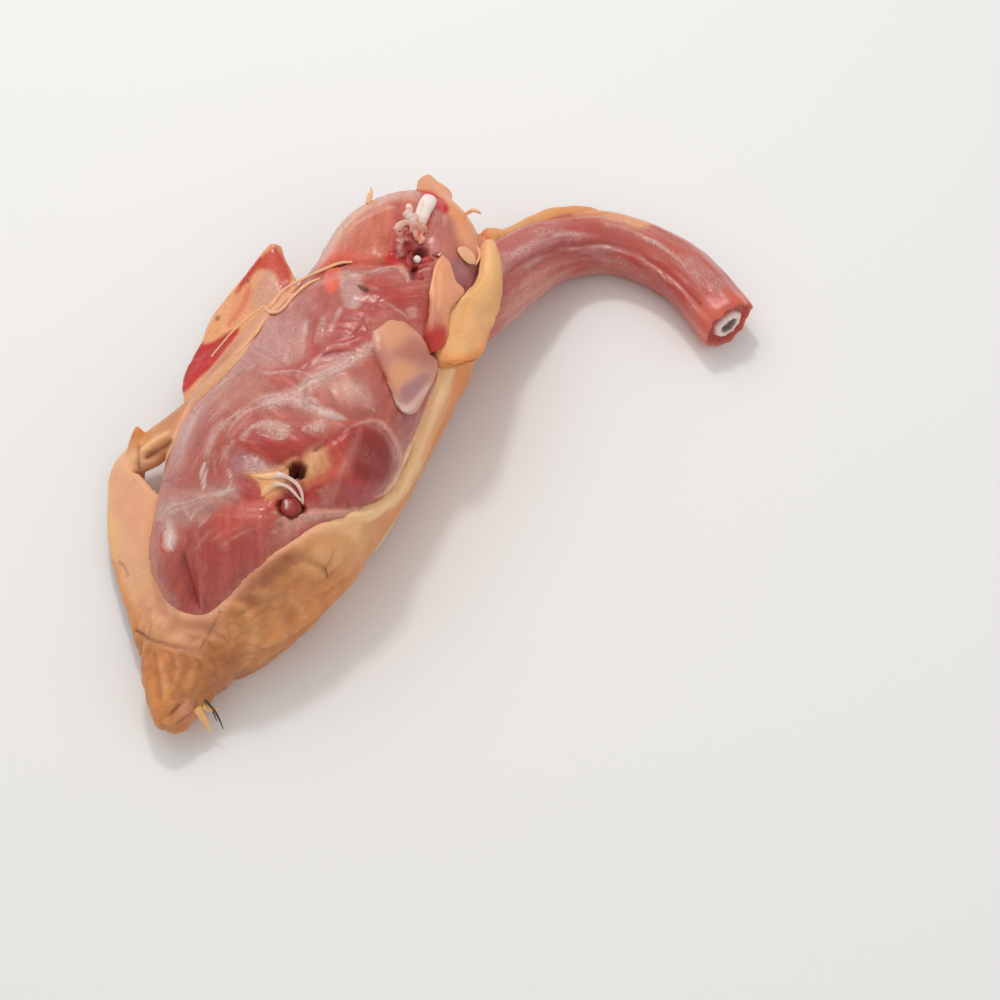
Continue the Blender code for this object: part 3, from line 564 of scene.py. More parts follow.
# %% Patches of tissue on the meat
MEAT_PATCHES = (
    # belly wall and ribs
    ("mauve", 0.7, 16, 0, 160,475, 176,430, 212,385, 245,350, 270,325, 290,345, 262,382, 228,412, 205,450,
     190,500, 165,520),
    ("grey", 0.45, 8, 0, 165,445, 176,415, 192,396, 214,380, 240,352, 252,356, 228,386, 206,412, 190,436,
     178,468),
    ("lilac", 0.3, 9, 0.2, 236,362, 256,330, 276,308, 300,296, 318,300, 314,325, 302,352, 284,368,
     256,372),
    ("deep", 0.5, 4, -0.3, 309,318, 317,314, 319,345, 311,352, 306,340),
    ("deep", 0.5, 4, -0.3, 327,316, 336,312, 338,334, 330,342, 324,335),
    ("pale", 0.4, 8, 0, 215,396, 246,378, 276,380, 266,396, 238,404, 220,412),
    ("deep", 0.85, 7, 0.3, 340,312, 352,304, 368,300, 380,306, 372,322, 362,338, 345,345, 335,338),
    ("orange", 0.25, 6, 0, 346,316, 358,306, 368,312, 358,330, 346,334),
    ("wine", 0.3, 7, 0, 342,316, 356,308, 370,308, 364,326, 350,338, 340,334),
    ("deep", 0.6, 7, 0.6, 268,374, 285,364, 306,358, 322,342, 345,336, 366,332, 372,342, 352,354, 322,362,
     300,376, 276,386),
    ("mauve", 0.6, 10, 1.1, 298,402, 318,388, 345,372, 372,374, 384,392, 378,412, 352,420, 325,412),
    ("pale", 0.5, 8, 0, 322,392, 345,380, 362,384, 360,400, 338,404),
    ("flesh", 0.6, 8, 0.4, 384,378, 398,400, 420,410, 428,402, 424,425, 410,445, 400,430, 386,412),
    ("violet", 0.35, 6, 0, 396,414, 416,408, 424,404, 420,425, 407,448, 398,436),
    ("film", 0.8, 6, 0.3, 258,402, 276,394, 296,388, 314,376, 336,360, 356,350, 370,342, 374,352, 358,364,
     338,374, 316,390, 296,398, 276,404, 262,408),
    ("film", 0.8, 5, 0.3, 262,404, 284,397, 304,400, 320,408, 338,416, 330,420, 312,414, 290,406,
     270,410),
    ("film", 0.4, 10, 0, 256,338, 276,318, 300,316, 304,340, 296,362, 272,370, 256,362),
    ("film", 0.55, 8, 0, 318,386, 340,378, 360,386, 370,402, 352,400, 336,392),
    # in front: the dome and the plates round the shoulder joint
    ("salmon", 0.95, 8, 0.5, 318,268, 326,248, 340,226, 357,210, 372,198, 400,192, 420,192, 420,215,
     404,246, 388,262, 350,264, 330,270),
    ("fat", 0.5, 5, 0, 318,262, 328,238, 342,220, 358,203, 374,204, 354,226, 340,246, 330,262),
    ("pale", 0.5, 6, 0, 368,204, 384,193, 420,192, 418,202, 396,204, 376,210),
    ("deep", 0.55, 8, -0.3, 390,204, 406,202, 412,214, 400,232, 392,246, 384,240, 394,222),
    ("orange", 0.7, 7, 0.2, 312,276, 322,256, 338,250, 360,254, 376,262, 350,264, 334,268, 320,274),
    ("mauve", 0.35, 6, 0.5, 338,270, 352,264, 378,266, 398,266, 408,276, 400,286, 378,284, 356,276),
    ("deep", 0.85, 7, 0.3, 366,280, 384,278, 402,290, 414,282, 428,296, 428,322, 412,322, 396,312,
     380,306, 368,298),
    ("orange", 0.95, 3, 0.5, 322,284, 328,272, 336,268, 342,274, 342,286, 335,292, 326,292),
    ("grey", 0.7, 3, 0.4, 338,277, 346,271, 358,276, 364,286, 362,300, 356,310, 346,306, 341,294),
    ("lilac", 0.6, 3, 0, 343,284, 352,284, 358,296, 352,306, 345,298),
    # the opened shoulder
    ("deep", 0.8, 5, -0.8, 396,236, 408,236, 426,242, 428,262, 420,276, 412,278, 404,264, 392,260),
    ("blood", 0.85, 4, 0, 383,262, 388,252, 395,248, 402,258, 396,266, 388,267),
    ("wine", 0.8, 4, 0, 404,248, 416,244, 430,248, 436,256, 424,262, 420,274, 412,280, 408,266, 404,258),
    ("mauve", 0.95, 6, 0, 428,222, 440,208, 456,216, 458,240, 456,266, 436,262, 428,245),
    ("pale", 0.7, 2.5, 0.4, 406,310, 415,307, 417,315, 410,319),
    ("blood", 0.95, 2.5, 0, 417,190, 430,190, 440,196, 449,207, 446,214, 437,209, 432,214, 430,222,
     426,228, 424,206),
    ("blood", 0.6, 5, 0, 424,322, 440,320, 443,340, 436,352, 426,350),
    # the cut hip
    ("deep", 0.85, 5, 0.5, 238,462, 240,448, 250,437, 268,434, 290,436, 303,432, 318,431, 322,440,
     316,450, 296,458, 284,464, 270,468, 254,468),
    ("deep", 0.85, 5, 0.7, 318,448, 330,437, 346,429, 362,424, 376,424, 390,436, 399,456, 398,474,
     390,488, 372,501, 350,506, 334,500, 328,486, 318,470),
    ("wine", 0.9, 8, 0.5, 352,436, 366,427, 384,432, 396,452, 396,470, 386,482, 366,482, 352,470,
     348,450),
    ("orange", 0.3, 7, 0, 318,452, 332,440, 344,442, 344,460, 334,478, 322,474),
    ("violet", 0.35, 7, 0, 342,486, 366,484, 386,486, 372,500, 350,505, 338,500),
    ("mauve", 0.85, 3, 0.3, 315,493, 336,478, 333,506, 321,509),
    ("deep", 0.6, 8, 0, 328,452, 340,438, 352,444, 348,470, 338,482, 332,470),
    ("orange", 0.25, 7, 0, 322,462, 334,454, 348,458, 346,470, 334,480, 320,484),
    ("fat", 0.8, 7, 0.2, 299,468, 304,457, 312,450, 322,448, 329,456, 330,466, 324,476, 314,482, 303,486),
    ("cream", 0.4, 6, 0.2, 304,460, 312,453, 319,456, 314,468, 306,474),
    ("fat", 0.75, 2.5, 0.1, 279,471, 284,464, 294,457, 297,460, 290,466, 286,474),
    ("orange", 0.6, 5, 0.1, 304,486, 314,478, 330,470, 346,461, 340,474, 322,485, 308,494),
    ("fat", 0.95, 4, 0.4, 245,473, 256,469, 270,467, 284,467, 294,474, 291,486, 280,494, 266,499, 258,492,
     254,482),
    ("deep", 0.9, 3, 0.3, 239,482, 248,477, 258,484, 262,494, 258,502, 244,502, 239,494),
    # lilac film, lightened with a painted sheen on the wet hip
    ("lilac", 0.7, 7, 0, 228,458, 240,450, 252,458, 268,464, 276,470, 256,472, 236,476),
    ("film", 0.7, 5, 0.2, 243,462, 250,456, 260,457, 270,464, 268,471, 254,473, 245,470),
    ("film", 0.8, 2.5, 0.5, 238,440, 243,430, 254,422, 267,419, 280,421, 289,428, 288,436, 281,440,
     272,436, 263,429, 251,430, 243,440),
    ("film", 0.8, 5, 0.3, 306,430, 312,424, 324,422, 326,430, 316,436),
    ("deep", 0.7, 3, -0.6, 276,500, 286,494, 302,492, 316,492, 320,500, 308,511, 282,513),
    ("orange", 0.5, 6, 0, 225,503, 245,502, 266,498, 278,504, 276,512, 250,512, 228,510),
    ("pale", 0.65, 5, 0.3, 278,515, 300,509, 330,508, 356,509, 372,507, 350,517, 320,521, 296,531,
     276,543, 268,545, 280,526),
    # thigh roots at the tail
    ("deep", 0.45, 10, 1.3, 196,522, 220,510, 262,510, 284,520, 276,545, 254,566, 232,588, 212,604,
     200,608, 193,582, 190,548),
    ("orange", 0.3, 8, 0, 216,520, 244,514, 262,518, 244,534, 218,538),
    ("flesh", 0.7, 6, 1.2, 149,548, 158,538, 172,548, 178,570, 186,598, 180,604, 164,592, 152,574),
    ("deep", 0.45, 6, 0, 172,566, 184,560, 194,590, 198,608, 190,606, 178,590),
    ("grey", 0.55, 9, 0.1, 152,512, 172,494, 205,486, 236,484, 238,496, 214,510, 195,524, 168,526),
    ("white", 0.55, 5, 0.2, 163,528, 169,523, 175,532, 175,545, 169,549, 164,540),
)
print(len(MEAT_PATCHES), "patches")

# %% [markdown]
# Lines are the edges of membranes, the ridges of ribs, cuts and creases. Some are painted light
# instead: painted highlights where wet film glints, and painted shade in slits and holes. Each
# row has the tissue, how strongly it shows, its half width in pixels, how far it stands out in mm
# (below zero for a groove), and its course as x, y, x, y and so on. The tissue none only moves the
# surface. A band of film isn't drawn solid: it breaks up into streaks along its course, as
# stretched membrane does.

# %% Lines on the meat
MEAT_LINES = (
    # fat that creeps from the skin's rim on to the meat
    ("cream", 0.9, 2.6, 0.3, 437,380, 429,402, 421,424, 413,443, 404,461, 394,480, 382,494),
    # painted highlights: wet glints on the loose membrane
    ("white", 0.55, 1.3, 0.3, 226,437, 236,422, 250,410, 268,404, 290,404),
    ("white", 0.5, 1.2, 0.3, 262,407, 280,401, 298,402, 316,409, 333,417),
    ("white", 0.5, 1.2, 0.3, 266,401, 284,396, 304,388, 320,378, 338,371, 353,363),
    ("white", 0.5, 1.1, 0.3, 243,441, 246,431, 256,423, 270,419.5),
    ("white", 0.45, 1.1, 0.3, 216,452, 214,464, 216,476),
    ("white", 0.8, 1, 0.3, 256,431, 262,435, 268,433, 274,437, 281,436),
    ("white", 0.8, 1, 0.3, 260,424, 269,426, 278,430, 285,437),
    ("white", 0.7, 1, 0.3, 244,456, 248,462, 246,468, 250,474),
    ("white", 0.7, 1, 0.3, 252,457, 256,464, 254,471, 258,477),
    ("white", 0.6, 0.9, 0.3, 262,461, 264,467, 269,471),
    ("white", 0.8, 1.1, 0.3, 208,468, 205,478, 204,490),
    ("white", 0.6, 1, 0.3, 229,470, 232,480, 228,492),
    ("white", 0.8, 1.2, 0.3, 168,527, 172,535, 170,544, 174,551),
    ("white", 0.6, 1, 0.3, 346,331, 349,334, 352,334),
    # ridges over the ribs; the white rows are pale membrane with painted highlight on the ridge tops
    ("white", 0.42, 3.2, 0.5, 307,320, 304,334, 303,350),
    ("white", 0.4, 3.4, 0.5, 323,316, 320,329, 316,342),
    ("white", 0.35, 2.8, 0.4, 341,309, 334,320, 329,331),
    ("none", 0, 3, -0.5, 312,322, 311,335, 309,350),
    ("film", 0.6, 4, 0.3, 262,322, 276,334, 284,350, 282,364),
    ("film", 0.5, 3, 0.3, 291,305, 298,318, 300,332),
    ("film", 0.5, 5, 0.2, 246,340, 262,350, 272,364),
    ("none", 0, 2, -0.5, 366,318, 360,330, 352,338, 340,343),
    ("wine", 0.6, 1.4, -0.4, 321,357, 331,354, 343,352),
    ("film", 0.7, 1.5, 0.3, 255,371, 272,374, 292,372, 310,374),
    ("wine", 0.4, 1.3, -0.3, 290,372, 298,384, 292,392),
    # films over the flank
    ("film", 0.85, 5, 0.6, 258,402, 276,398, 292,394, 308,384, 322,376, 340,370, 354,362, 368,354),
    ("film", 0.6, 3, 0.4, 292,392, 306,378, 322,366, 342,358),
    ("film", 0.85, 6, 0.6, 226,440, 234,424, 248,411, 266,403, 288,402, 310,406, 328,414, 342,420),
    ("film", 0.7, 3, 0.5, 205,458, 212,440, 224,426, 240,414, 256,408),
    ("film", 0.6, 2.4, 0.4, 297,396, 314,402, 328,412, 346,420),
    # painted highlight: a glint along the film
    ("white", 0.95, 1.6, 0.4, 320,412, 334,418, 348,421),
    ("orange", 0.6, 2.4, 0, 326,422, 338,424, 350,422),
    ("film", 0.85, 4, 0.4, 303,431, 312,427, 322,424, 336,425, 346,428),
    ("film", 0.5, 3, 0.4, 340,372, 354,384, 362,398, 372,410),
    ("film", 0.5, 2.4, 0.4, 330,385, 345,398, 358,406, 374,412),
    ("film", 0.5, 3, 0.3, 200,408, 192,425, 186,442, 182,460),
    ("film", 0.5, 3.4, 0.3, 216,392, 228,380, 242,372, 254,366),
    ("film", 0.5, 3, 0.3, 210,422, 222,408, 234,398, 248,392),
    # painted highlight: a glint on the film
    ("white", 0.8, 1.6, 0.4, 205,462, 202,474, 203,488),
    ("film", 0.6, 3, 0.4, 222,420, 214,434, 209,450, 206,470),
    ("film", 0.7, 3.4, 0.4, 232,440, 224,454, 222,468, 228,480),
    # painted highlight: glints on the crinkled film
    ("white", 0.6, 1.3, 0.3, 262,434, 272,439, 282,440, 287,434),
    # rim of the wine-red muscle and the edges round the socket
    ("pale", 0.75, 2.4, 0.6, 352,427, 362,423, 374,421, 385,427, 393,438, 399,452, 400,467, 395,481,
     385,491, 374,497),
    ("film", 0.6, 4, 0.2, 366,424, 382,429, 393,446, 396,464, 390,482),
    ("mauve", 0.55, 4, 0.2, 360,428, 354,446, 346,464, 338,480, 332,500),
    ("film", 0.4, 2.4, 0.2, 352,440, 346,456, 338,474),
    ("pale", 0.8, 2.6, 1, 274,512, 288,515, 304,514.5, 322,512, 342,511, 362,508),
    ("none", 0, 3, -0.8, 346,428, 340,436, 326,447, 314,452),
    ("wine", 0.6, 1.2, -0.5, 314,451, 322,446, 330,438),
    ("none", 0, 2.5, -0.8, 268,510, 290,514, 318,509, 350,509, 378,505),
    ("film", 0.7, 2.6, 0.3, 272,534, 290,522, 318,516, 345,514, 370,508),
    ("film", 0.6, 2, 0.2, 272,526, 284,519, 300,514, 316,512),
    ("blood", 0.6, 1.8, -0.3, 302,498, 312,490, 324,486),
    # grey films and streaks at the tail
    ("film", 0.8, 4, 0.4, 156,522, 170,510, 190,502, 210,496, 232,490),
    ("white", 0.6, 4, 0.3, 214,496, 226,492, 236,490),
    ("film", 0.85, 1.6, 0.35, 191,519, 195,512, 203,506, 215,500),
    ("film", 0.8, 1.3, 0.3, 191,519, 187,514, 184,506),
    ("film", 0.8, 1.2, 0.3, 196,550, 201,546, 208,537, 214,530),
    ("film", 0.6, 1.2, 0.25, 200,528, 206,521, 212,514),
    ("film", 0.35, 1.6, 0.2, 215,540, 232,530, 250,524),
    ("film", 0.35, 1.6, 0.2, 222,548, 240,536, 258,528),
    ("blood", 0.9, 1.2, 0.2, 167,528, 162,531, 161,539, 163,547, 168,552),
    ("none", 0, 4, -1.6, 181,552, 185,572, 191,592, 198,610),
    ("wine", 0.6, 4, 0, 181,556, 186,578, 194,604),
    # round the shoulder joint and the dome; the near-black rows are painted shade in slits and holes
    ("film", 0.7, 1.3, 0.3, 338,236, 350,224, 364,214, 382,205),
    ("film", 0.4, 1.6, 0.2, 356,226, 376,214, 396,208),
    ("pit", 0.9, 1.3, -0.9, 334,268, 341,265, 349,262),
    ("none", 0, 2.4, -0.8, 349,264, 372,265, 392,264, 402,266),
    ("film", 0.8, 2.6, 0.6, 352,276, 372,274, 388,269, 398,268, 406,273, 409,282),
    ("pale", 0.9, 1.8, 0.8, 385,270, 394,267, 402,268, 407,274, 409,281),
    ("pale", 0.8, 1.5, 0.5, 419,272, 424,269.5, 431,270),
    ("film", 0.6, 1.2, 0.3, 376,299, 388,304, 400,312, 408,319),
    ("pit", 0.95, 1.8, -1.2, 359,285, 363,288, 368,291),
    ("pit", 0.7, 1.8, -1.0, 416,250, 421,248, 427,252),
    ("pit", 0.7, 1.8, -1.0, 412,256, 413,266, 414,279),
    ("wine", 0.7, 3, -0.8, 434,254, 440,256, 442,260),
    ("blood", 0.7, 3, 0, 425,350, 430,344, 437,340),
    ("pit", 0.85, 2.2, -1.2, 427,354, 432,353, 438,351),
    ("wine", 0.6, 2.5, -0.8, 443,345, 438,360, 440,372),
    # where the blade's cartilage presses through
    ("none", 0, 3, -0.7, 372,352, 384,372, 392,390, 396,404),
)
print(len(MEAT_LINES), "lines")

# %% [markdown]
# ## The meat of the trunk
#
# A fine grid follows the trunk formula. Its rings are half a millimetre apart, and the points of
# a ring stand closer on the upper side than where the carcass lies. One closed mesh is enough,
# since the muscles lie close together and only their borders show. Each muscle keeps its own
# grain: two lengths in mm, along and across its fibres, which the finish reads, and a third
# number that keeps the patterns of two muscles apart.

# %% Meat grid
MEAT_RINGS = 380
DENSE_SIDES, COARSE_SIDES = 196, 44
DENSE_FROM, DENSE_TO = np.radians(-14), np.radians(196)
END_GAP = 0.02           # mm between the last ring and the closed end
GRAIN_CENTRES = (        # pixel and direction of the fibres in degrees, from across to along the body
    (300, 340, 60), (330, 350, 160), (230, 400, 120), (270, 390, 20), (340, 400, 50), (270, 450, 10),
    (370, 460, 75), (330, 470, 30), (240, 540, 60), (165, 570, 80), (200, 500, 15), (190, 450, 100),
    (370, 230, 80), (330, 250, 65), (400, 300, 140), (380, 280, 170), (390, 400, 80), (450, 240, 90),
)


def surface_lengths(grid):
    """Length round each ring from its top, and length along the body, both in mm."""
    step = np.linalg.norm(np.diff(grid, axis=1), axis=-1)
    run = np.insert(np.cumsum(step, axis=1), 0, 0.0, axis=1)
    return run - run[:, [grid.shape[1] // 3]], grid[..., 1]


def grain_lengths(px, around, along):
    """Lengths turned into the direction of the nearest muscle's fibres, plus a number for the muscle."""
    *centre, degrees = np.array(GRAIN_CENTRES, float).T
    nearest = np.argmin(np.linalg.norm(px[:, None] - np.stack(centre, -1), axis=-1), axis=1)
    turn = np.radians(degrees)[nearest]
    fibre = around * np.cos(turn) + along * np.sin(turn)
    across = along * np.cos(turn) - around * np.sin(turn)
    return np.stack([fibre, across, nearest * 7.0], axis=-1)


angles = np.concatenate([
    np.linspace(DENSE_FROM, DENSE_TO, DENSE_SIDES),
    np.linspace(DENSE_TO, DENSE_FROM + 2 * np.pi, COARSE_SIDES + 2)[1:-1]])
rows = np.linspace(TAIL_END, FRONT_END, MEAT_RINGS)
rows[0] += END_GAP
rows[-1] -= END_GAP
meat_grid, meat_out = trunk(rows[:, None], angles[None, :])
around, along = surface_lengths(meat_grid)
flat_points, flat_out = meat_grid.reshape(-1, 3), meat_out.reshape(-1, 3)
grain = grain_lengths(photo_place(flat_points), around.ravel(), along.ravel())
print("meat grid:", meat_grid.shape[:2])

# %% [markdown]
# Flesh drifts between mauve and deep red, and pale strands run in it along the grain. The tables
# paint over that. The height from the tables, some seeded unevenness and the joint holes push
# the grid in and out along its normals, but only where no skin covers it.

# %% Meat colours, relief and object
# The dark at the bottom of each hole is painted shade.
HOLES = (                # centre x and y, radius, depth, and how strongly it is dark
    (-19.1, -42.0, 2.0, 4.6, 0.8), (-17.0, -41.2, 2.1, 4.6, 0.8), (-15.6, 54.8, 2.7, 3.2, 0.15),
    (-15.3, -53.2, 4.2, 2.7, 0.3), (-12.8, -51.8, 2.0, 1.8, 0.4), (-14.2, 46.4, 1.4, 2.4, 0.6),
)
FILM_EVERYWHERE = 0.2
BUNDLES, FINE_BUNDLES = (9, 1.7, 41), (7, 0.9, 45)      # length and width in mm, and seed
BARE_FROM, BARE_TO = 2.5, -1.5                          # skin depth in mm over which the relief sets in


def flesh_base(points, seed):
    """Red flesh that drifts between mauve and deep red in lumps of 20 mm and 6 mm."""
    drift = lumps(points, 20, seed)
    base = tinted(TISSUES["flesh"], "mauve", np.clip(drift * 1.3, 0, 1))
    base = tinted(base, "deep", np.clip(-drift * 1.1, 0, 1))
    return tinted(base, "pale", np.clip(lumps(points, 6, seed + 9) * 1.6 - 0.4, 0, 1) * 0.5)


def streaks(lengths, long, wide, seed, octaves=2):
    """Lumps so many mm long and wide along the stored grain."""
    return lumps(lengths / (long, wide, 1), 1.0, seed, octaves)


def sink_holes(points, normals, colour):
    """Push points inside each hole straight down its axis, with steep walls and a bottom darkened by painted
    shade.
    """
    for x, y, radius, depth, dark in HOLES:
        wobble = 1 + 0.4 * lumps(points, 2.2, 91, 2)
        far = np.hypot(points[:, 0] - x, points[:, 1] - y) / (radius * wobble)
        sink = (1 - ramp(0.7, 1.15, far)) * (normals[:, 2] > 0.2)
        points = points - normals * (sink * depth)[:, None]
        colour = tinted(colour, "pit", np.clip(sink * 1.4, 0, 1) * dark)
    return points, colour


def with_ends(values):
    """Point values with two more for the ends of a closed tube."""
    return np.concatenate([values, values[:1], values[-1:]])


meat_tissue, meat_height, meat_film = paint(
    flat_points, flat_out, flesh_base(flat_points, 11), MEAT_PATCHES, MEAT_LINES)
meat_film = np.maximum(meat_film, FILM_EVERYWHERE * ramp(0.0, 0.6, lumps(flat_points, 14, 31)))
bundles, fine_bundles = streaks(grain, *BUNDLES), streaks(grain, *FINE_BUNDLES)
meat_tissue = meat_tissue * (1 + 0.14 * bundles + 0.12 * fine_bundles)[:, None]
pale_strands = 0.22 * ramp(0.15, 0.6, fine_bundles + 0.5 * bundles)
meat_tissue = tinted(meat_tissue, "pale", pale_strands * ramp(-0.2, 0.5, lumps(flat_points, 12, 47)))
uneven = 0.30 * lumps(flat_points, 9, 21) + 0.16 * bundles
bare = ramp(0.5, 4.0, flat_points[:, 2]) * ramp(BARE_FROM, BARE_TO, skin_depth(flat_points))
meat_points = flat_points + flat_out * ((meat_height + uneven) * bare)[:, None]
meat_points, meat_tissue = sink_holes(meat_points, flat_out, meat_tissue)
meat_points[:, 2] = np.maximum(meat_points[:, 2], lies_at(meat_points[:, 1]))
points, faces = closed_tube(meat_points.reshape(meat_grid.shape))
body_meat = new_piece("body_meat", points, faces, tissue=with_ends(meat_tissue),
                      film=with_ends(meat_film), grain=with_ends(grain))
print("relief on the meat, mm:", meat_height.min().round(1), meat_height.max().round(1))

# %% [markdown]
# Tendons, plates and shreds lie on the meat or the skin. A Shrinkwrap modifier could lay them
# there, but it flattens them. Two functions find their places instead: one from a place in plan,
# and one from a pixel of the photograph.

# %% Finding places on a surface
FACES_CAMERA = 0.1
UPPER_FIRST = 0.05       # pixels that a millimetre towards the camera counts for


def on_meat(x, y):
    """Points on the finished meat above plan places x, y, and the normals there."""
    shape = np.shape(x)
    x, y = np.ravel(x).astype(float), np.ravel(y).astype(float)
    belly, back, _, _ = at_stations(TRUNK_STATIONS, y)
    ridge = back - RIDGE_SHARE * (back - belly)
    share = np.clip(np.where(x > ridge, (x - ridge) / (back - ridge), (x - ridge) / (ridge - belly)), -1, 1)
    round_ = np.where(x > ridge, ROUND_BACK, ROUND_BELLY)
    angle = np.arccos(np.sign(share) * np.abs(share) ** (round_ / 2))
    points, normals = trunk(y, angle)
    height = paint(points, normals, np.zeros((len(points), 3)), MEAT_PATCHES, MEAT_LINES)[1]
    points = points + normals * (height * ramp(BARE_FROM, BARE_TO, skin_depth(points)))[:, None]
    return points.reshape(*shape, 3), normals.reshape(*shape, 3)


def seen_on(surface, pixels, lift=0.0):
    """Places of a surface seen at pixels of the photograph, moved out by lift, and the normals there.

    Of the points that face the camera the one with the nearest pixel is taken, and of several
    layers the upper one. The rest of the offset is made up parallel to the picture.
    """
    points, normals = surface
    facing = np.nonzero(normals @ TO_CAMERA > FACES_CAMERA)[0]
    at = photo_place(points[facing])
    pixels = np.atleast_2d(np.asarray(pixels, float))
    far = np.linalg.norm(pixels[:, None] - at, axis=-1)
    best = np.argmin(far - UPPER_FIRST * (points[facing] @ TO_CAMERA), axis=1)
    right, down = ((pixels - at[best]) * DISTANCE / FOCAL).T[..., None]
    place = points[facing[best]] + right * TO_RIGHT - down * TO_TOP
    return place + normals[facing[best]] * np.reshape(lift, (-1, 1)), normals[facing[best]]


meat_surface = (meat_points, flat_out)
print("meat at the cut hip:", seen_on(meat_surface, (340, 470))[0].round(1))

# %% [markdown]
# ## The finish of wet meat
#
# Raw muscle is soft, wet and a little see-through: light goes a few millimetres in and comes out
# redder, and a skin of water gives small soft glints. The finish starts from the stored tissue
# colour and adds fibres about 0.7 mm apart along the stored grain. Where the stored film is
# strong, membrane lies over them in streaks, and white creases in it are painted highlights for
# the glints of crinkled film. IOR 1.38 is that of water and muscle. Every size of a pattern is
# given in millimetres and turned into the node's scale.

# %% Helpers for materials
WET_IOR, WET_GLOSS = 1.38, 0.2
WATER_ROUGHNESS = 0.07
SCATTER_COLOURS = (1.0, 0.42, 0.28)     # red light goes furthest in flesh


def add(tree, kind, settings=None, **links):
    """Add a node with its settings, and set its inputs or link them.

    An input goes by its name, with underscores for spaces, or by i and its number. A node given
    as a value stands for its first output.
    """
    made = tree.nodes.new("ShaderNode" + kind)
    for key, value in (settings or {}).items():
        setattr(made, key, value)
    for key, value in links.items():
        socket = made.inputs[int(key[1:])] if key[1:].isdigit() else made.inputs[key.replace("_", " ")]
        value = value.outputs[0] if isinstance(value, bpy.types.Node) else value
        if isinstance(value, bpy.types.NodeSocket):
            tree.links.new(value, socket)
        else:
            socket.default_value = value
    return made


def per_metre(size_mm):
    """Scale of a pattern whose cells are so many mm wide, since Object coordinates are in metres."""
    return 1 / (size_mm * MM)


def new_finish(name, roughness, coat, scatter, reach, ior=WET_IOR):
    """A material whose Principled shader is a wet solid that light enters by about reach mm."""
    material = bpy.data.materials.new(name)
    material.use_nodes = True
    tree = material.node_tree
    shader = tree.nodes["Principled BSDF"]
    for key, value in {
            "Roughness": roughness, "IOR": ior, "Specular IOR Level": WET_GLOSS, "Coat Weight": coat,
            "Coat Roughness": WATER_ROUGHNESS, "Subsurface Weight": scatter, "Subsurface Scale": reach * MM,
            "Subsurface Radius": SCATTER_COLOURS, "Metallic": 0.0}.items():
        shader.inputs[key].default_value = value
    return material, tree, shader


print("a cell of 1 mm has the scale", round(per_metre(1)))

# %% Meat finish
RIDGED = {"noise_type": "RIDGED_MULTIFRACTAL"}
TIMES, TIMES_PLUS = {"operation": "MULTIPLY"}, {"operation": "MULTIPLY_ADD"}
TIMES_CLAMPED = {"operation": "MULTIPLY", "use_clamp": True}
COLOURS = {"data_type": "RGBA"}
FIBRE_MM, FILM_STREAK_MM, GLINT_CREASE_MM = (10, 0.741), (7.69, 1.613), (5, 1.176)    # along and across the grain
MOTTLE_MM, CRINKLE_MM, WET_GRAIN_MM = 3.846, 1.613, 1.111


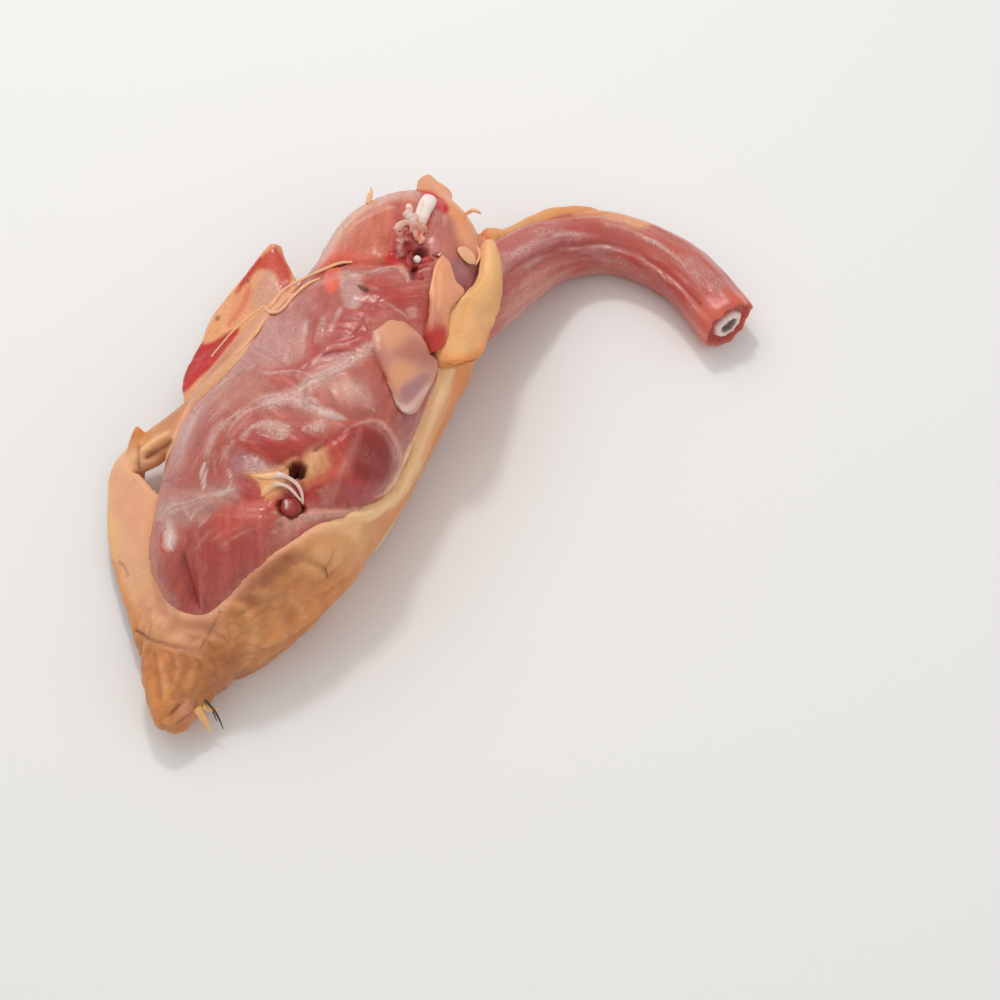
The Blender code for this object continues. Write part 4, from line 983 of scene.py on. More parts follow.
def meat_finish(name, film_strength=1.0, coat=0.6, grainy=1.0):
    """Tissue colour, fibres, mottling, film in streaks, painted highlights in its creases, two depths of
    relief.
    """
    material, tree, shader = new_finish(name, 0.38, coat, 0.2, 1.0)
    tissue = add(tree, "Attribute", {"attribute_name": "tissue"}).outputs["Color"]
    film = add(tree, "Attribute", {"attribute_name": "film"}).outputs["Fac"]
    grain = add(tree, "Attribute", {"attribute_name": "grain"}).outputs["Vector"]
    place = add(tree, "TexCoord").outputs["Object"]

    def along_grain(sizes, settings=None, **links):
        """Noise whose cells are so many mm along and across the fibres."""
        turned = add(tree, "Mapping", i1=grain, Scale=(1 / sizes[0], 1 / sizes[1], 1.0))
        return add(tree, "TexNoise", settings, i0=turned, Scale=1.0, **links)

    fibre = along_grain(FIBRE_MM, Detail=4.0, Roughness=0.6)
    fibre_value = add(tree, "MapRange", Value=fibre, i1=0.3, i2=0.7, i3=1 - 0.15 * grainy,
                      i4=1 + 0.12 * grainy)
    mottle = add(tree, "TexNoise", i0=place, Scale=per_metre(MOTTLE_MM), Detail=3.0, Roughness=0.55)
    mottle_value = add(tree, "MapRange", Value=mottle, i1=0.3, i2=0.7, i3=1 - 0.06 * grainy,
                       i4=1 + 0.06 * grainy)
    value = add(tree, "Math", TIMES, i0=fibre_value, i1=mottle_value)
    toned = add(tree, "HueSaturation", Value=value, Color=tissue)
    streak = along_grain(FILM_STREAK_MM, RIDGED, Detail=2.5, Roughness=0.5, Offset=1.0)
    streak_value = add(tree, "MapRange", Value=streak, i1=0.55, i2=1.25, i3=0.0, i4=1.0)
    veil = add(tree, "Math", TIMES_PLUS, i0=streak_value, i1=0.85, i2=0.2)
    amount = add(tree, "Math", TIMES_CLAMPED, i0=veil, i1=film)
    strong = add(tree, "Math", TIMES_CLAMPED, i0=amount, i1=0.44 * film_strength)
    filmed = add(tree, "Mix", COLOURS, i0=strong, i6=toned, i7=(*TISSUES["film"], 1.0))
    film_squared = add(tree, "Math", {"operation": "POWER"}, i0=film, i1=2.0)
    # painted highlights: white creases in strong film stand for glints on crinkled membrane
    glint_crease = along_grain(GLINT_CREASE_MM, RIDGED, Detail=2.0, Roughness=0.5, Offset=1.0, Distortion=0.6)
    glint_crease_value = add(tree, "MapRange", Value=glint_crease, i1=1.15, i2=1.5, i3=0.0, i4=0.9)
    glint_crease_share = add(tree, "Math", TIMES, i0=glint_crease_value, i1=film_squared)
    glint_creased = add(tree, "Mix", COLOURS, i0=glint_crease_share, i6=filmed.outputs[2], i7=(*TISSUES["white"], 1.0))
    tree.links.new(glint_creased.outputs[2], shader.inputs["Base Color"])

    wet_grain = add(tree, "TexNoise", i0=place, Scale=per_metre(WET_GRAIN_MM), Detail=4.0, Roughness=0.6)
    low_grain = add(tree, "Math", TIMES, i0=wet_grain, i1=0.2)
    relief = add(tree, "Math", TIMES_PLUS, i0=fibre, i1=0.5, i2=low_grain)
    relief = add(tree, "Math", TIMES_PLUS, i0=amount, i1=0.8, i2=relief)
    bump = add(tree, "Bump", Strength=0.6, Distance=0.25 * MM, Height=relief)
    tree.links.new(bump.outputs[0], shader.inputs["Normal"])
    crinkle = add(tree, "TexNoise", i0=place, Scale=per_metre(CRINKLE_MM), Detail=3.0, Roughness=0.6)
    crinkled = add(tree, "Math", TIMES, i0=crinkle, i1=film_squared)
    wet_relief = add(tree, "Math", TIMES_PLUS, i0=crinkled, i1=3.2, i2=relief)
    wet_bump = add(tree, "Bump", Strength=0.7, Distance=0.3 * MM, Height=wet_relief)
    tree.links.new(wet_bump.outputs[0], shader.inputs["Coat Normal"])
    rough = add(tree, "MapRange", Value=wet_grain, i1=0.3, i2=0.7, i3=0.30, i4=0.46)
    tree.links.new(rough.outputs[0], shader.inputs["Roughness"])
    return material


raw_muscle = meat_finish("raw_muscle")
finish_piece(body_meat, raw_muscle, "trunk")

# %% [markdown]
# ## The neck
#
# The neck leaves the shoulders under the back skin, bends round and ends in a cut. Long muscles
# run along it like thick cords, so its section isn't a plain circle: three waves of different
# number round the ring, twisted slightly along the way, make the cords. Separate muscles would
# need welding, and they would show no more than these waves do.

# %% Neck grid
NECK_ROUTE = (           # middle line and radius
    (-2, 50, 32, 15.0), (6, 78, 22, 14.0), (16, 101, 14, 12.5), (36, 114, 11, 11.0), (62, 111, 10.4, 10.8),
    (84, 97, 10.6, 11.0),
)
NECK_RINGS, NECK_SIDES = 300, 120


def route_frame(centre):
    """Directions along a route, level across it and upright across it."""
    forward = unit(np.gradient(centre, axis=0))
    level = unit(np.cross(forward, (0.0, 0.0, 1.0)))
    return forward, level, np.cross(level, forward)


def ring_points(centre, level, upright, angle, across, tall):
    """Ring round each centre: level cos(angle) and upright sin(angle), times the two half sizes."""
    return (centre[:, None] + level[:, None] * (across * np.cos(angle))[..., None]
            + upright[:, None] * (tall * np.sin(angle))[..., None])


def round_ring(sides):
    """Angles of so many sides, evenly round a ring."""
    return np.linspace(0, 2 * np.pi, sides, endpoint=False)


neck_rows = along_rows(NECK_ROUTE, NECK_RINGS)
neck_centre, neck_radius = neck_rows[:, :3], neck_rows[:, 3:]
neck_forward, neck_level, neck_upright = route_frame(neck_centre)
neck_turn = round_ring(NECK_SIDES)
travelled = np.linspace(0, 1, NECK_RINGS)[:, None]
cords = (0.035 * np.cos(3 * neck_turn + 5 * travelled) + 0.03 * np.cos(5 * neck_turn - 4 * travelled + 1)
         + 0.02 * np.cos(8 * neck_turn + 7 * travelled + 2))
neck_across = neck_radius * (1 + cords)
neck_grid = ring_points(neck_centre, neck_level, neck_upright, neck_turn, neck_across, neck_across)
print("neck length:", round(float(np.linalg.norm(np.diff(neck_centre, axis=0), axis=1).sum())), "mm")

# %% [markdown]
# At the cut the flesh draws back round a vertebra: white bone with a hole in it, darkened by
# painted shade, in a shallow bowl of red flesh with a ragged rim. More rings carry the tube over
# that rim and inwards.

# %% The neck's cut end
CUT_RINGS = 26
CUT_DEPTH = 2.2
NECK_END_ROUND = 3.0


def neck_cut(last, centre, forward):
    """Rings from the neck's last one inwards: over a rounded rim, down a shallow bowl, up to the bone."""
    share = np.linspace(0, 1, CUT_RINGS + 1)[1:, None]
    side = round_ring(len(last))
    ragged = 0.7 * np.sin(5 * side) * np.sin(2 * side + 1) + 0.3 * np.sin(11 * side + 2)
    size = np.cos(share * np.pi / 2) ** 0.75
    over = NECK_END_ROUND * np.sin(np.clip(share * 3.2, 0, 1) * np.pi / 2)
    bowl = -CUT_DEPTH * ramp(0.25, 0.62, share) + 2.4 * ramp(0.66, 0.76, share)
    bowl = bowl - 2.2 * ramp(0.86, 0.95, share)
    push = over + bowl + ragged * ramp(0.0, 0.25, share) * (1 - ramp(0.3, 0.6, share))
    return centre + (last - centre) * size[..., None] + forward * push[..., None]


cut = neck_cut(neck_grid[-1], neck_centre[-1], neck_forward[-1])
neck_all = np.concatenate([neck_grid, cut])
inside = np.concatenate([neck_centre, np.repeat(neck_centre[-1:] - 6 * neck_forward[-1:], CUT_RINGS, 0)])
neck_out = grid_normals(neck_all)
neck_out *= np.sign(np.sum(neck_out * (neck_all - inside[:, None]), -1, keepdims=True).mean())
flat_neck, flat_neck_out = neck_all.reshape(-1, 3), neck_out.reshape(-1, 3)
print("rings with the cut end:", len(neck_all))

# %% Neck colours and object
NECK_PATCHES = (
    ("violet", 0.3, 12, 0, 500,250, 560,225, 620,240, 600,268, 545,268, 500,300),
    ("deep", 0.4, 10, 0.3, 570,232, 620,232, 670,262, 700,300, 680,300, 640,270, 590,258),
    ("pale", 0.5, 8, 0, 500,305, 535,282, 570,268, 560,280, 530,305, 505,330),
    ("fat", 0.8, 5, 0.2, 575,206, 610,207, 650,220, 640,228, 600,216, 575,214),
)
NECK_LINES = (
    ("film", 0.7, 2.5, 0.3, 505,262, 530,245, 560,235, 600,236),
    ("film", 0.6, 2, 0.3, 520,290, 545,270, 580,258, 615,262, 650,280),
    ("film", 0.7, 2.2, 0.3, 600,222, 640,235, 675,258, 700,290),
    ("white", 0.6, 1.4, 0.3, 560,250, 600,246, 640,258, 672,284),
    ("none", 0, 3, -0.8, 500,280, 530,260, 570,246, 620,248, 665,272, 700,306),
)
NECK_LENGTH = 150.0
NECK_PALER = 1.12
# The pit row darkens the hole in the vertebra with painted shade.
CUT_TISSUES = (("deep", 0.3, 0.5), ("white", 0.68, 0.74), ("pit", 0.84, 0.9), ("white", 0.93, 0.97))


def by_ring(on_neck, on_cut):
    """One value for each ring of the neck and of its cut end, repeated for the points of the ring."""
    return np.repeat(np.concatenate([on_neck, on_cut]), NECK_SIDES)


neck_along = by_ring(travelled[:, 0] * NECK_LENGTH, np.full(CUT_RINGS, NECK_LENGTH))
neck_around = np.tile(neck_across.mean() * neck_turn, len(neck_all))
neck_grain = np.stack([neck_along, neck_around, np.full(len(neck_along), 3.0)], -1)
fibres = streaks(neck_grain, 16, 2.6, 43, 3)
neck_base = tinted(NECK_PALER * flesh_base(flat_neck, 17), "violet", 0.25 * ramp(0.1, 0.6, fibres))
neck_tissue, neck_height, neck_film = paint(flat_neck, flat_neck_out, neck_base, NECK_PATCHES, NECK_LINES)
cut_share = by_ring(np.zeros(NECK_RINGS), np.linspace(0, 1, CUT_RINGS + 1)[1:])
near_cut = by_ring(ramp(0.93, 1.0, travelled[:, 0]), np.ones(CUT_RINGS))
neck_tissue = tinted(neck_tissue, "orange", near_cut * 0.75 * (0.7 + 0.3 * lumps(flat_neck, 3, 5)))
for tissue, low, high in CUT_TISSUES:
    neck_tissue = tinted(neck_tissue, tissue, 0.9 * ramp(low, high, cut_share))
neck_film = np.maximum(neck_film, 0.5 * ramp(-0.1, 0.5, fibres)) * (1 - near_cut)
neck_height = neck_height + 0.35 * fibres + 0.2 * lumps(flat_neck, 4, 6)
flat_neck = flat_neck + flat_neck_out * (neck_height * ramp(0.3, 3.0, flat_neck[:, 2]))[:, None]
flat_neck[:, 2] = np.maximum(flat_neck[:, 2], 0.0)
points, faces = closed_tube(flat_neck.reshape(neck_all.shape))
neck_meat = new_piece("neck_meat", points, faces, tissue=with_ends(neck_tissue),
                      film=with_ends(neck_film), grain=with_ends(neck_grain))
finish_piece(neck_meat, raw_muscle, "trunk")

# %% [markdown]
# ## The skin
#
# The skin is a thick, fatty sheet. It wraps the back and the tail, lies on the flank as a narrow
# strip, hangs out as a broad flap beside the belly, and is folded over as a heavy lobe at the
# shoulder. A cloth simulation could drape it, but not fold by fold as the photograph has it. So
# each of these is a pillow or a lobe laid on the trunk formula. A voxel remesh welds them into
# one skin, as the real one is, and a few smoothing passes take off the steps. Creases, wrinkles
# and the cream rim are then laid on that welded mesh.

# %% Skin numbers
THICK_RIM, THIN_RIM = 2.7, 0.9          # height of the cut edge where it is fatty, and where it is a film
SKIN_LIFTS = (SKIN_THICK, 1.9, 2.0)     # on the back and rump, in front, at the belly
RIM_GROWS_OVER = 9.0
UNDER_MEAT = 1.3
RUMP = ((-35, -80, 14, 14, 11), (-31, -91, 13.5, 16, 12.5), (-30, -100, 14, 12.5, 12.5))
TAIL = ((-36, -93, 13, 17, 12.5), (-35, -102, 13, 15, 12.5), (-33, -111, 12, 11.8, 10.5),
        (-32, -117, 11, 9.2, 8), (-31, -120.5, 10, 6.5, 5.5))
COLLAR = (               # lower edge on the meat and free upper edge
    (-30.5, 84.5, 44.6, -34.0, 94.5, 38), (-26.5, 84.3, 45, -32.5, 100.4, 34.5),
    (-22.5, 83.5, 45.4, -28.0, 98.6, 34.5), (-19.0, 82.5, 45.4, -22.6, 96.6, 34),
    (-15.8, 79.2, 46.6, -20.6, 92.6, 34), (-11.2, 75.3, 47.2, -15.2, 89.6, 34),
    (-6.7, 71.6, 46.4, -8.2, 83.5, 34), (-2.5, 67.9, 44.3, -2.6, 79.5, 34), (0.5, 64, 41, 2.8, 73, 32),
)
COLLAR_THICK = 2.2
NECK_FAT = ((-2, 84, 33, 4, 3), (3, 90, 28, 4.4, 3), (11, 108, 21, 3.6, 2.8), (21, 116.5, 18, 3.2, 2.4),
            (33, 120.5, 16, 2.2, 1.5))
FLAP_TIP = ((-83.5, -42, 11, 4, 2.6), (-85, -37, 14, 3.8, 2.4), (-86, -33, 17, 3.2, 2),
            (-87, -29.8, 19.3, 2.2, 1.5), (-87.8, -28.2, 20.4, 1.2, 1))
FLAP_FOLD = ((-68, -28, 28, 2.4, 3), (-73, -33, 24, 2.6, 3.2), (-78, -37, 18.5, 2.8, 3),
             (-83, -39.5, 14, 3, 2.6))
BELLY_FLAP = (
    (-64, -2, 31, -70, -4, 25), (-66, -16, 31, -79, -18, 19), (-66, -28, 30, -87, -28, 15),
    (-65, -40, 29, -93, -40, 9.5), (-63, -53, 27, -88.5, -53, 8), (-58, -67, 25, -80.5, -68, 8),
    (-50, -79, 22, -70, -81, 8), (-43, -88, 19, -60, -93, 8), (-38, -94, 16, -51, -103, 8),
    (-35, -97, 14, -42, -106, 9),
)
BELLY_FLAP_THICK, BELLY_FLAP_BULGE = 2.6, 3.0
FLAP_HOLE = ((-84, -40.5), (-78.5, -37.6), (-71.5, -34.5), (-66, -38), (-65, -49), (-69, -50.5),
             (-77.5, -45), (-83, -42.5))
LOBE_RINGS, LOBE_SIDES = 70, 56
END_REACH = 0.7          # how far a lobe's end reaches, as a share of its smaller half size


def skin_lift(points, depth):
    """Height of the skin over the meat: a quarter circle at the rim, then a slow rise.

    Where the depth is below zero the skin dives into the meat.
    """
    x, y = points[:, 0], points[:, 1]
    full, front, belly = SKIN_LIFTS
    full = full + (front - full) * ramp(20.0, 50.0, y)
    full = full + (belly - full) * ramp(-45.0, -58.0, x) * ramp(-70.0, -45.0, y)
    fatty = ramp(-50.0, -38.0, y) * ramp(34.0, 22.0, y) * ramp(-25.0, -10.0, x)
    rim = THIN_RIM + (THICK_RIM - THIN_RIM) * fatty
    full = np.where(fatty > 0, full + (1.3 - full) * fatty, full)
    lift = rim * np.sqrt(1 - (1 - np.clip(depth / rim, 0, 1)) ** 2)
    lift = lift + (full - rim) * ramp(0.5 * rim, RIM_GROWS_OVER, depth)
    return np.where(depth > 0, lift, np.maximum(1.3 * depth, -2.4))


def lobe(stations, rings=LOBE_RINGS, sides=LOBE_SIDES, ripple=0.0, seed=3):
    """Oval rings along a route; the ends close over a quarter circle of the smaller half size."""
    rows = along_rows(stations, rings)
    centre, halves = rows[:, :3], rows[:, 3:]
    forward, level, upright = route_frame(centre)
    bend = np.sin(np.linspace(0, np.pi / 2, 10))[1:-1, None]
    first, last = END_REACH * halves[[0, -1]].min(axis=1)
    centre = np.concatenate([centre[0] - forward[0] * first * bend[::-1], centre,
                             centre[-1] + forward[-1] * last * bend])
    shrink = np.sqrt(1 - bend**2)
    halves = np.concatenate([halves[0] * shrink[::-1], halves, halves[-1] * shrink])
    level, upright = (np.pad(v, ((len(bend),) * 2, (0, 0)), "edge") for v in (level, upright))
    grid = ring_points(centre, level, upright, round_ring(sides), halves[:, :1], halves[:, 1:])
    if ripple:
        grid = grid + unit(grid - centre[:, None]) * (ripple * lumps(grid, 9, seed))[..., None]
    grid[..., 2] = np.maximum(grid[..., 2], 0.0)
    return closed_tube(grid)


def flap_grid(stations, bulge, rows, cols):
    """Sheet between an inner and an outer edge, bowed up by a half sine."""
    stations = along_rows(stations, rows)
    v = np.linspace(0, 1, cols)[None, :, None]
    grid = stations[:, None, :3] + (stations[:, None, 3:] - stations[:, None, :3]) * v
    grid[..., 2] += bulge * np.sin(np.pi * v[..., 0])
    return grid


# %% [markdown]
# The wrap is a sheet between two lifts of the trunk formula. It is kept only where the skin
# depth says so, and its rim dives a little into the meat, so no slit shows under it.

# %% The skin on the trunk
WRAP_ROWS, WRAP_SIDES, OVERLAP = 260, 250, 0.12
WRAP_FRONT, WRAP_TAIL = 96.8, -96.5
WRAP_INWARDS = 1.9       # least thickness of the wrap, in mm
DIVES_TO = -2.6          # depth at which the wrap ends inside the meat

wrap_y = np.linspace(WRAP_FRONT, WRAP_TAIL, WRAP_ROWS)[:, None]
wrap_angle = np.linspace(-np.pi / 2 - OVERLAP, 1.5 * np.pi + OVERLAP, WRAP_SIDES)
wrap_base = trunk(wrap_y, wrap_angle)[0]
wrap_depth = skin_depth(wrap_base.reshape(-1, 3))
wrap_out = skin_lift(wrap_base.reshape(-1, 3), wrap_depth).reshape(wrap_base.shape[:2])
wrap_top = trunk(wrap_y, wrap_angle, wrap_out)[0]
wrap_bottom = trunk(wrap_y, wrap_angle, np.minimum(-UNDER_MEAT, wrap_out - WRAP_INWARDS))[0]
skinned = (wrap_depth > DIVES_TO).reshape(wrap_base.shape[:2])
skinned = skinned[:-1, :-1] & skinned[1:, :-1] & skinned[:-1, 1:] & skinned[1:, 1:]
cap_y = np.concatenate([np.linspace(-93.5, -97, 12), -100 + 3 * np.linspace(1, 0.01, 12)[1:] ** 2])
skin_parts = [compact(*sandwich(wrap_top, wrap_bottom, skinned)),
              closed_tube(trunk(cap_y[:, None], round_ring(90), SKIN_THICK)[0])]
print("share of the trunk in skin:", skinned.mean().round(2))

# %% The skin's lobes and flap, welded
VOXEL, WELD_PASSES = 0.85, 4

flap = flap_grid(BELLY_FLAP, BELLY_FLAP_BULGE, 120, 46)
flap[..., 2] -= BELLY_FLAP_THICK / 2
flap[..., 2] += 0.7 * lumps(flap, 16, 71)
middles = (flap[:-1, :-1] + flap[1:, 1:]) / 2
in_hole = outline_distance(middles[..., :2].reshape(-1, 2), FLAP_HOLE).reshape(middles.shape[:2]) > 0
collar = flap_grid(COLLAR, 0.0, 110, 40)
collar[..., 2] += 0.5 * lumps(collar, 6, 23)
skin_parts += [compact(*pillow(flap, BELLY_FLAP_THICK / 2, ~in_hole)),
               compact(*pillow(collar, COLLAR_THICK / 2)), lobe(RUMP), lobe(TAIL, ripple=0.7),
               lobe(NECK_FAT, ripple=0.9, seed=33), lobe(FLAP_TIP, ripple=0.3, seed=43),
               lobe(FLAP_FOLD, ripple=0.3, seed=53)]


def welded(name, parts, voxel, passes):
    """Parts joined, remeshed into one closed surface with faces of the voxel's size, and smoothed."""
    rough = new_piece(name + "_parts", *joined(parts))
    weld = rough.modifiers.new("weld", "REMESH")
    weld.mode = "VOXEL"
    weld.voxel_size = voxel * MM
    soften = rough.modifiers.new("soften", "SMOOTH")
    soften.factor = 0.5
    soften.iterations = passes
    result = bpy.data.meshes.new_from_object(
        rough.evaluated_get(bpy.context.evaluated_depsgraph_get()))
    old = rough.data
    bpy.data.objects.remove(rough)
    bpy.data.meshes.remove(old)
    obj = bpy.data.objects.new(name, result)
    result.name = name
    result.shade_smooth()
    bpy.context.scene.collection.objects.link(obj)
    return obj


def mesh_arrays(obj):
    """Vertices in mm and their normals."""
    mesh = obj.data
    points, normals = np.empty(len(mesh.vertices) * 3), np.empty(len(mesh.vertices) * 3)
    mesh.vertices.foreach_get("co", points)
    mesh.vertices.foreach_get("normal", normals)
    return points.reshape(-1, 3) / MM, normals.reshape(-1, 3)


def move_points(obj, points):
    """Put the vertices of a mesh at points in mm."""
    obj.data.vertices.foreach_set("co", (points * MM).astype(np.float32).ravel())
    obj.data.update()


back_skin = welded("back_skin_piece", skin_parts, VOXEL, WELD_PASSES)
skin_points, skin_out = mesh_arrays(back_skin)
print("skin points:", len(skin_points), "box", np.round(skin_points.min(0)), np.round(skin_points.max(0)))

# %% [markdown]
# The skin's own tables follow. The cut edge shows a cream rim of fat, the rump is tan and
# wrinkled in long soft folds, the flap by the belly is pink and smooth, and the collar at the
# shoulder is peach outside and mauve inside, where it once lay on the meat. The rim needs no
# drawing: how deep a point lies in the skin already says where it is. The folds are a pattern:
# the valleys of a lumpy field, which is stretched along the fold's direction.
# Their valleys, the creases and the groove beside the meat are darkened with painted shade, and some fold
# crests and the belly flap's outer edge are lightened with painted highlight.

# %% Patches on the skin
SKIN_PATCHES = (
    ("amber", 0.9, 6, 0, 446,368, 472,362, 462,405, 446,440, 428,485, 412,508, 396,520, 404,500, 418,470,
     432,430, 442,400),
    ("cream", 0.95, 3, 0.3, 430,362, 454,364, 452,385, 447,408, 433,440, 420,470, 408,492, 396,505,
     378,514, 352,521, 330,524, 330,510, 356,498, 386,480, 404,440, 418,400),
    ("belly", 0.9, 14, 0, 100,440, 150,455, 165,470, 155,520, 148,560, 160,600, 190,620, 215,622, 200,648,
     160,640, 130,600, 110,540),
    ("skin", 0.6, 8, 0, 268,316, 246,346, 218,374, 196,396, 176,420, 160,440, 150,430, 186,376, 226,330,
     256,306),
    ("mauve", 0.3, 8, 0, 264,318, 240,352, 198,394, 176,420, 160,430, 170,400, 206,356, 250,312),
    ("pink", 0.6, 12, 0, 105,470, 135,480, 150,510, 142,545, 118,520),
    ("pink", 0.45, 10, 0, 150,590, 185,618, 215,612, 225,630, 190,642, 160,625),
    # the belly flap's outer edge: butter fat, lightened as painted highlight
    ("butter", 0.7, 5, 0, 102,450, 112,446, 112,500, 118,545, 112,560, 104,510),
    # painted shadow in the groove between the meat and the rump: the shade patch and the mauve tint over it
    ("shade", 0.9, 9, -0.4, 238,600, 250,582, 270,564, 294,550, 304,556, 288,574, 268,590, 252,606),
    ("mauve", 0.35, 9, 0, 244,596, 256,580, 276,564, 296,552, 300,560, 284,574, 262,592),
    ("butter", 0.45, 14, 0, 300,545, 345,530, 372,530, 360,560, 320,575, 300,565),
    ("amber", 0.6, 14, 0.3, 300,590, 335,575, 360,575, 345,605, 300,632, 270,640, 285,610),
    ("shade", 0.35, 9, 0, 262,656, 300,640, 340,612, 370,572, 385,551, 380,580, 345,618, 300,648,
     265,666),
    ("amber", 0.45, 12, 0, 145,650, 180,655, 175,700, 160,725, 145,700),
    ("pink", 0.5, 6, 0.2, 178,700, 192,695, 196,712, 186,722, 176,716),
    ("shade", 0.6, 9, 0, 202,655, 240,652, 240,680, 215,705, 200,690),
    ("shade", 0.6, 8, 0, 168,617, 186,622, 206,620, 216,626, 200,634, 176,628),
    # collar and inner side at the shoulder
    ("peach", 0.9, 6, 0, 420,176, 432,172, 470,195, 492,240, 488,262, 470,262, 452,215, 436,192),
    ("mauve", 0.95, 6, -0.2, 430,206, 446,208, 456,224, 462,244, 480,262, 482,285, 462,300, 448,300,
     442,262, 434,240),
    ("amber", 0.95, 4, 0, 449,201, 457,206, 468,222, 476,240, 468,238, 458,222),
    ("peach", 0.6, 8, 0, 458,226, 466,230, 476,248, 468,252, 460,242),
    # painted highlight: a pale grey-pink spot in the hollow beside the bone
    ("pale", 0.7, 4, 0.3, 435,214, 444,212, 447,220, 440,225),
    ("blood", 0.97, 2.5, 0, 415,190, 430,190, 440,196, 450,207, 446,214, 437,208, 432,214, 430,222,
     426,228, 424,206),
    # painted shadow: dark wine along the bone's right side
    ("wine", 0.85, 2.5, -0.3, 433,208, 439,212, 436,222, 430,229, 427,228, 430,220),
    ("violet", 0.8, 5, -0.5, 446,260, 460,258, 474,264, 480,276, 472,290, 458,292, 452,276),
    ("wine", 0.4, 4, -0.5, 456,286, 470,284, 464,298, 456,298),
)
print(len(SKIN_PATCHES), "patches on the skin")

# %% Lines on the skin
SKIN_LINES = (
    # The brown, shade and pit rows paint shade in grooves and creases.
    ("amber", 0.6, 3, 0, 449,396, 439,420, 431,438, 421,462),
    ("brown", 0.5, 1.6, -0.5, 283,556, 290,560, 297,566),
    ("brown", 0.45, 1.4, -0.6, 219,612, 212,626, 204,642, 199,650),
    ("brown", 0.7, 1.8, -1.1, 134,630, 148,638, 164,643, 182,647),
    ("shade", 0.55, 4, -1.2, 172,645, 190,648, 206,655, 216,666),
    ("shade", 0.35, 9, -1.0, 240,600, 252,584, 270,570, 290,560),
    ("shade", 0.22, 7, -0.8, 264,554, 250,568, 238,584, 228,600),
    ("shade", 0.22, 7, -0.9, 262,586, 280,598, 292,614, 290,634),
    ("shade", 0.2, 6, -0.8, 246,600, 260,614, 266,632, 258,650),
    ("shade", 0.2, 6, -0.8, 230,612, 242,628, 242,644, 232,658),
    ("shade", 0.25, 5, -0.8, 212,676, 228,666, 246,658, 266,652),
    ("shade", 0.25, 5, -0.8, 210,692, 226,682, 242,674, 258,664),
    ("shade", 0.2, 7, -0.8, 276,574, 296,578, 314,590, 326,604),
    ("shade", 0.18, 6, -0.7, 286,562, 306,562, 328,570, 346,584),
    # the butter rows on the fold crests are pale fat lightened as painted highlight
    ("butter", 0.3, 6, 0.5, 252,594, 272,592, 292,600, 304,618),
    ("butter", 0.25, 5, 0.4, 236,604, 250,618, 254,636, 246,652),
    ("brown", 0.5, 1, -0.5, 324,568, 326,574, 327,578),
    ("shade", 0.35, 3.2, -1.0, 168,652, 171,665, 168,676, 174,690, 172,700),
    ("shade", 0.3, 3.4, -1.0, 182,654, 186,672, 180,690, 184,704),
    ("shade", 0.25, 3.4, -0.8, 152,652, 155,678, 158,704),
    ("shade", 0.3, 3.4, -0.9, 196,660, 200,676, 194,694),
    # butter ridges between the shaded wrinkles: pale fat lightened as painted highlight
    ("butter", 0.5, 3, 0.6, 175,655, 178,672, 172,690),
    ("butter", 0.5, 3.2, 0.6, 160,660, 163,680, 165,700),
    # painted shade: a dark slit at the tail
    ("pit", 0.7, 1.3, -1.1, 169,716, 176,709, 183,704),
    ("brown", 0.5, 1.8, -0.7, 176,724, 186,718, 196,710, 198,700),
    ("brown", 0.4, 1.4, -0.6, 118,562, 124,568, 128,578),
    ("amber", 0.5, 3, 0, 112,560, 122,590, 136,625),
    # the inside of the fold beside the gap, with painted shade in its dark groove
    ("brown", 0.95, 4.5, -1.6, 146,458, 154,452, 163,446, 170,440),
    ("cream", 0.8, 3, 0.6, 140,452, 150,445, 160,438, 170,432),
    ("brown", 0.5, 1.8, -1.2, 139,470, 137,458, 138,446),
    ("pink", 0.5, 4, 0, 196,400, 180,420, 170,438),
    ("cream", 0.15, 2.5, 0.2, 262,322, 240,350, 214,376, 196,392),
)
print(len(SKIN_LINES), "lines on the skin")

# %% Folds and rim of the skin
def wrinkles(points, size, seed, stretch):
    """Long soft folds: a lumpy field bent by another, with narrow valleys where it passes zero."""
    warp = np.stack([lumps(points, 2.5 * size, seed + k, 2) for k in (10, 20, 30)], -1) * size * 0.8
    field = lumps((points + warp) @ stretch, size, seed, 2)
    return (1 - np.minimum(np.abs(field) * 2.0, 1.0)) ** 2


def turned_stretch(degrees, long):
    """Matrix that stretches a pattern by that factor along a direction in the floor plane."""
    c, s = np.cos(np.radians(degrees)), np.sin(np.radians(degrees))
    along = np.array([c, s, 0.0])
    return np.eye(3) - (1 - 1 / long) * np.outer(along, along)


def skin_base(points, depth):
    """Tan to butter skin in lumps, and the pink or cream rim where it is shallow."""
    base = tinted(TISSUES["skin"], "butter", 0.65 * ramp(-0.4, 0.6, lumps(points, 26, 81)))
    base = tinted(base, "amber", 0.5 * ramp(0.0, 0.6, lumps(points, 12, 85)))
    fatty = ramp(-60.0, -36.0, points[:, 1]) * (points[:, 0] > -25)
    wide = 6.5 - 3.3 * ramp(-40.0, -60.0, points[:, 1])
    rim = ramp(wide, wide - 2.5, depth + 1.0 * lumps(points, 6, 87)) * ramp(-3.0, -1.0, depth)
    behind_collar = ramp(30.0, 24.0, points[:, 1])
    rim_tissue = tinted(TISSUES["pink"], "cream", 0.35 + 0.65 * fatty)
    return base + (rim_tissue - base) * (rim * 0.9 * behind_collar)[:, None]


print("stretch of the long folds:", turned_stretch(60, 2.4).round(2).tolist())

# %% Skin colours and folds
FOLD_DEPTH, FOLD_SHADE = 1.0, 0.50
WAVES, LONG_FOLDS, SHORT_FOLDS = 0.35, 0.8, 0.6

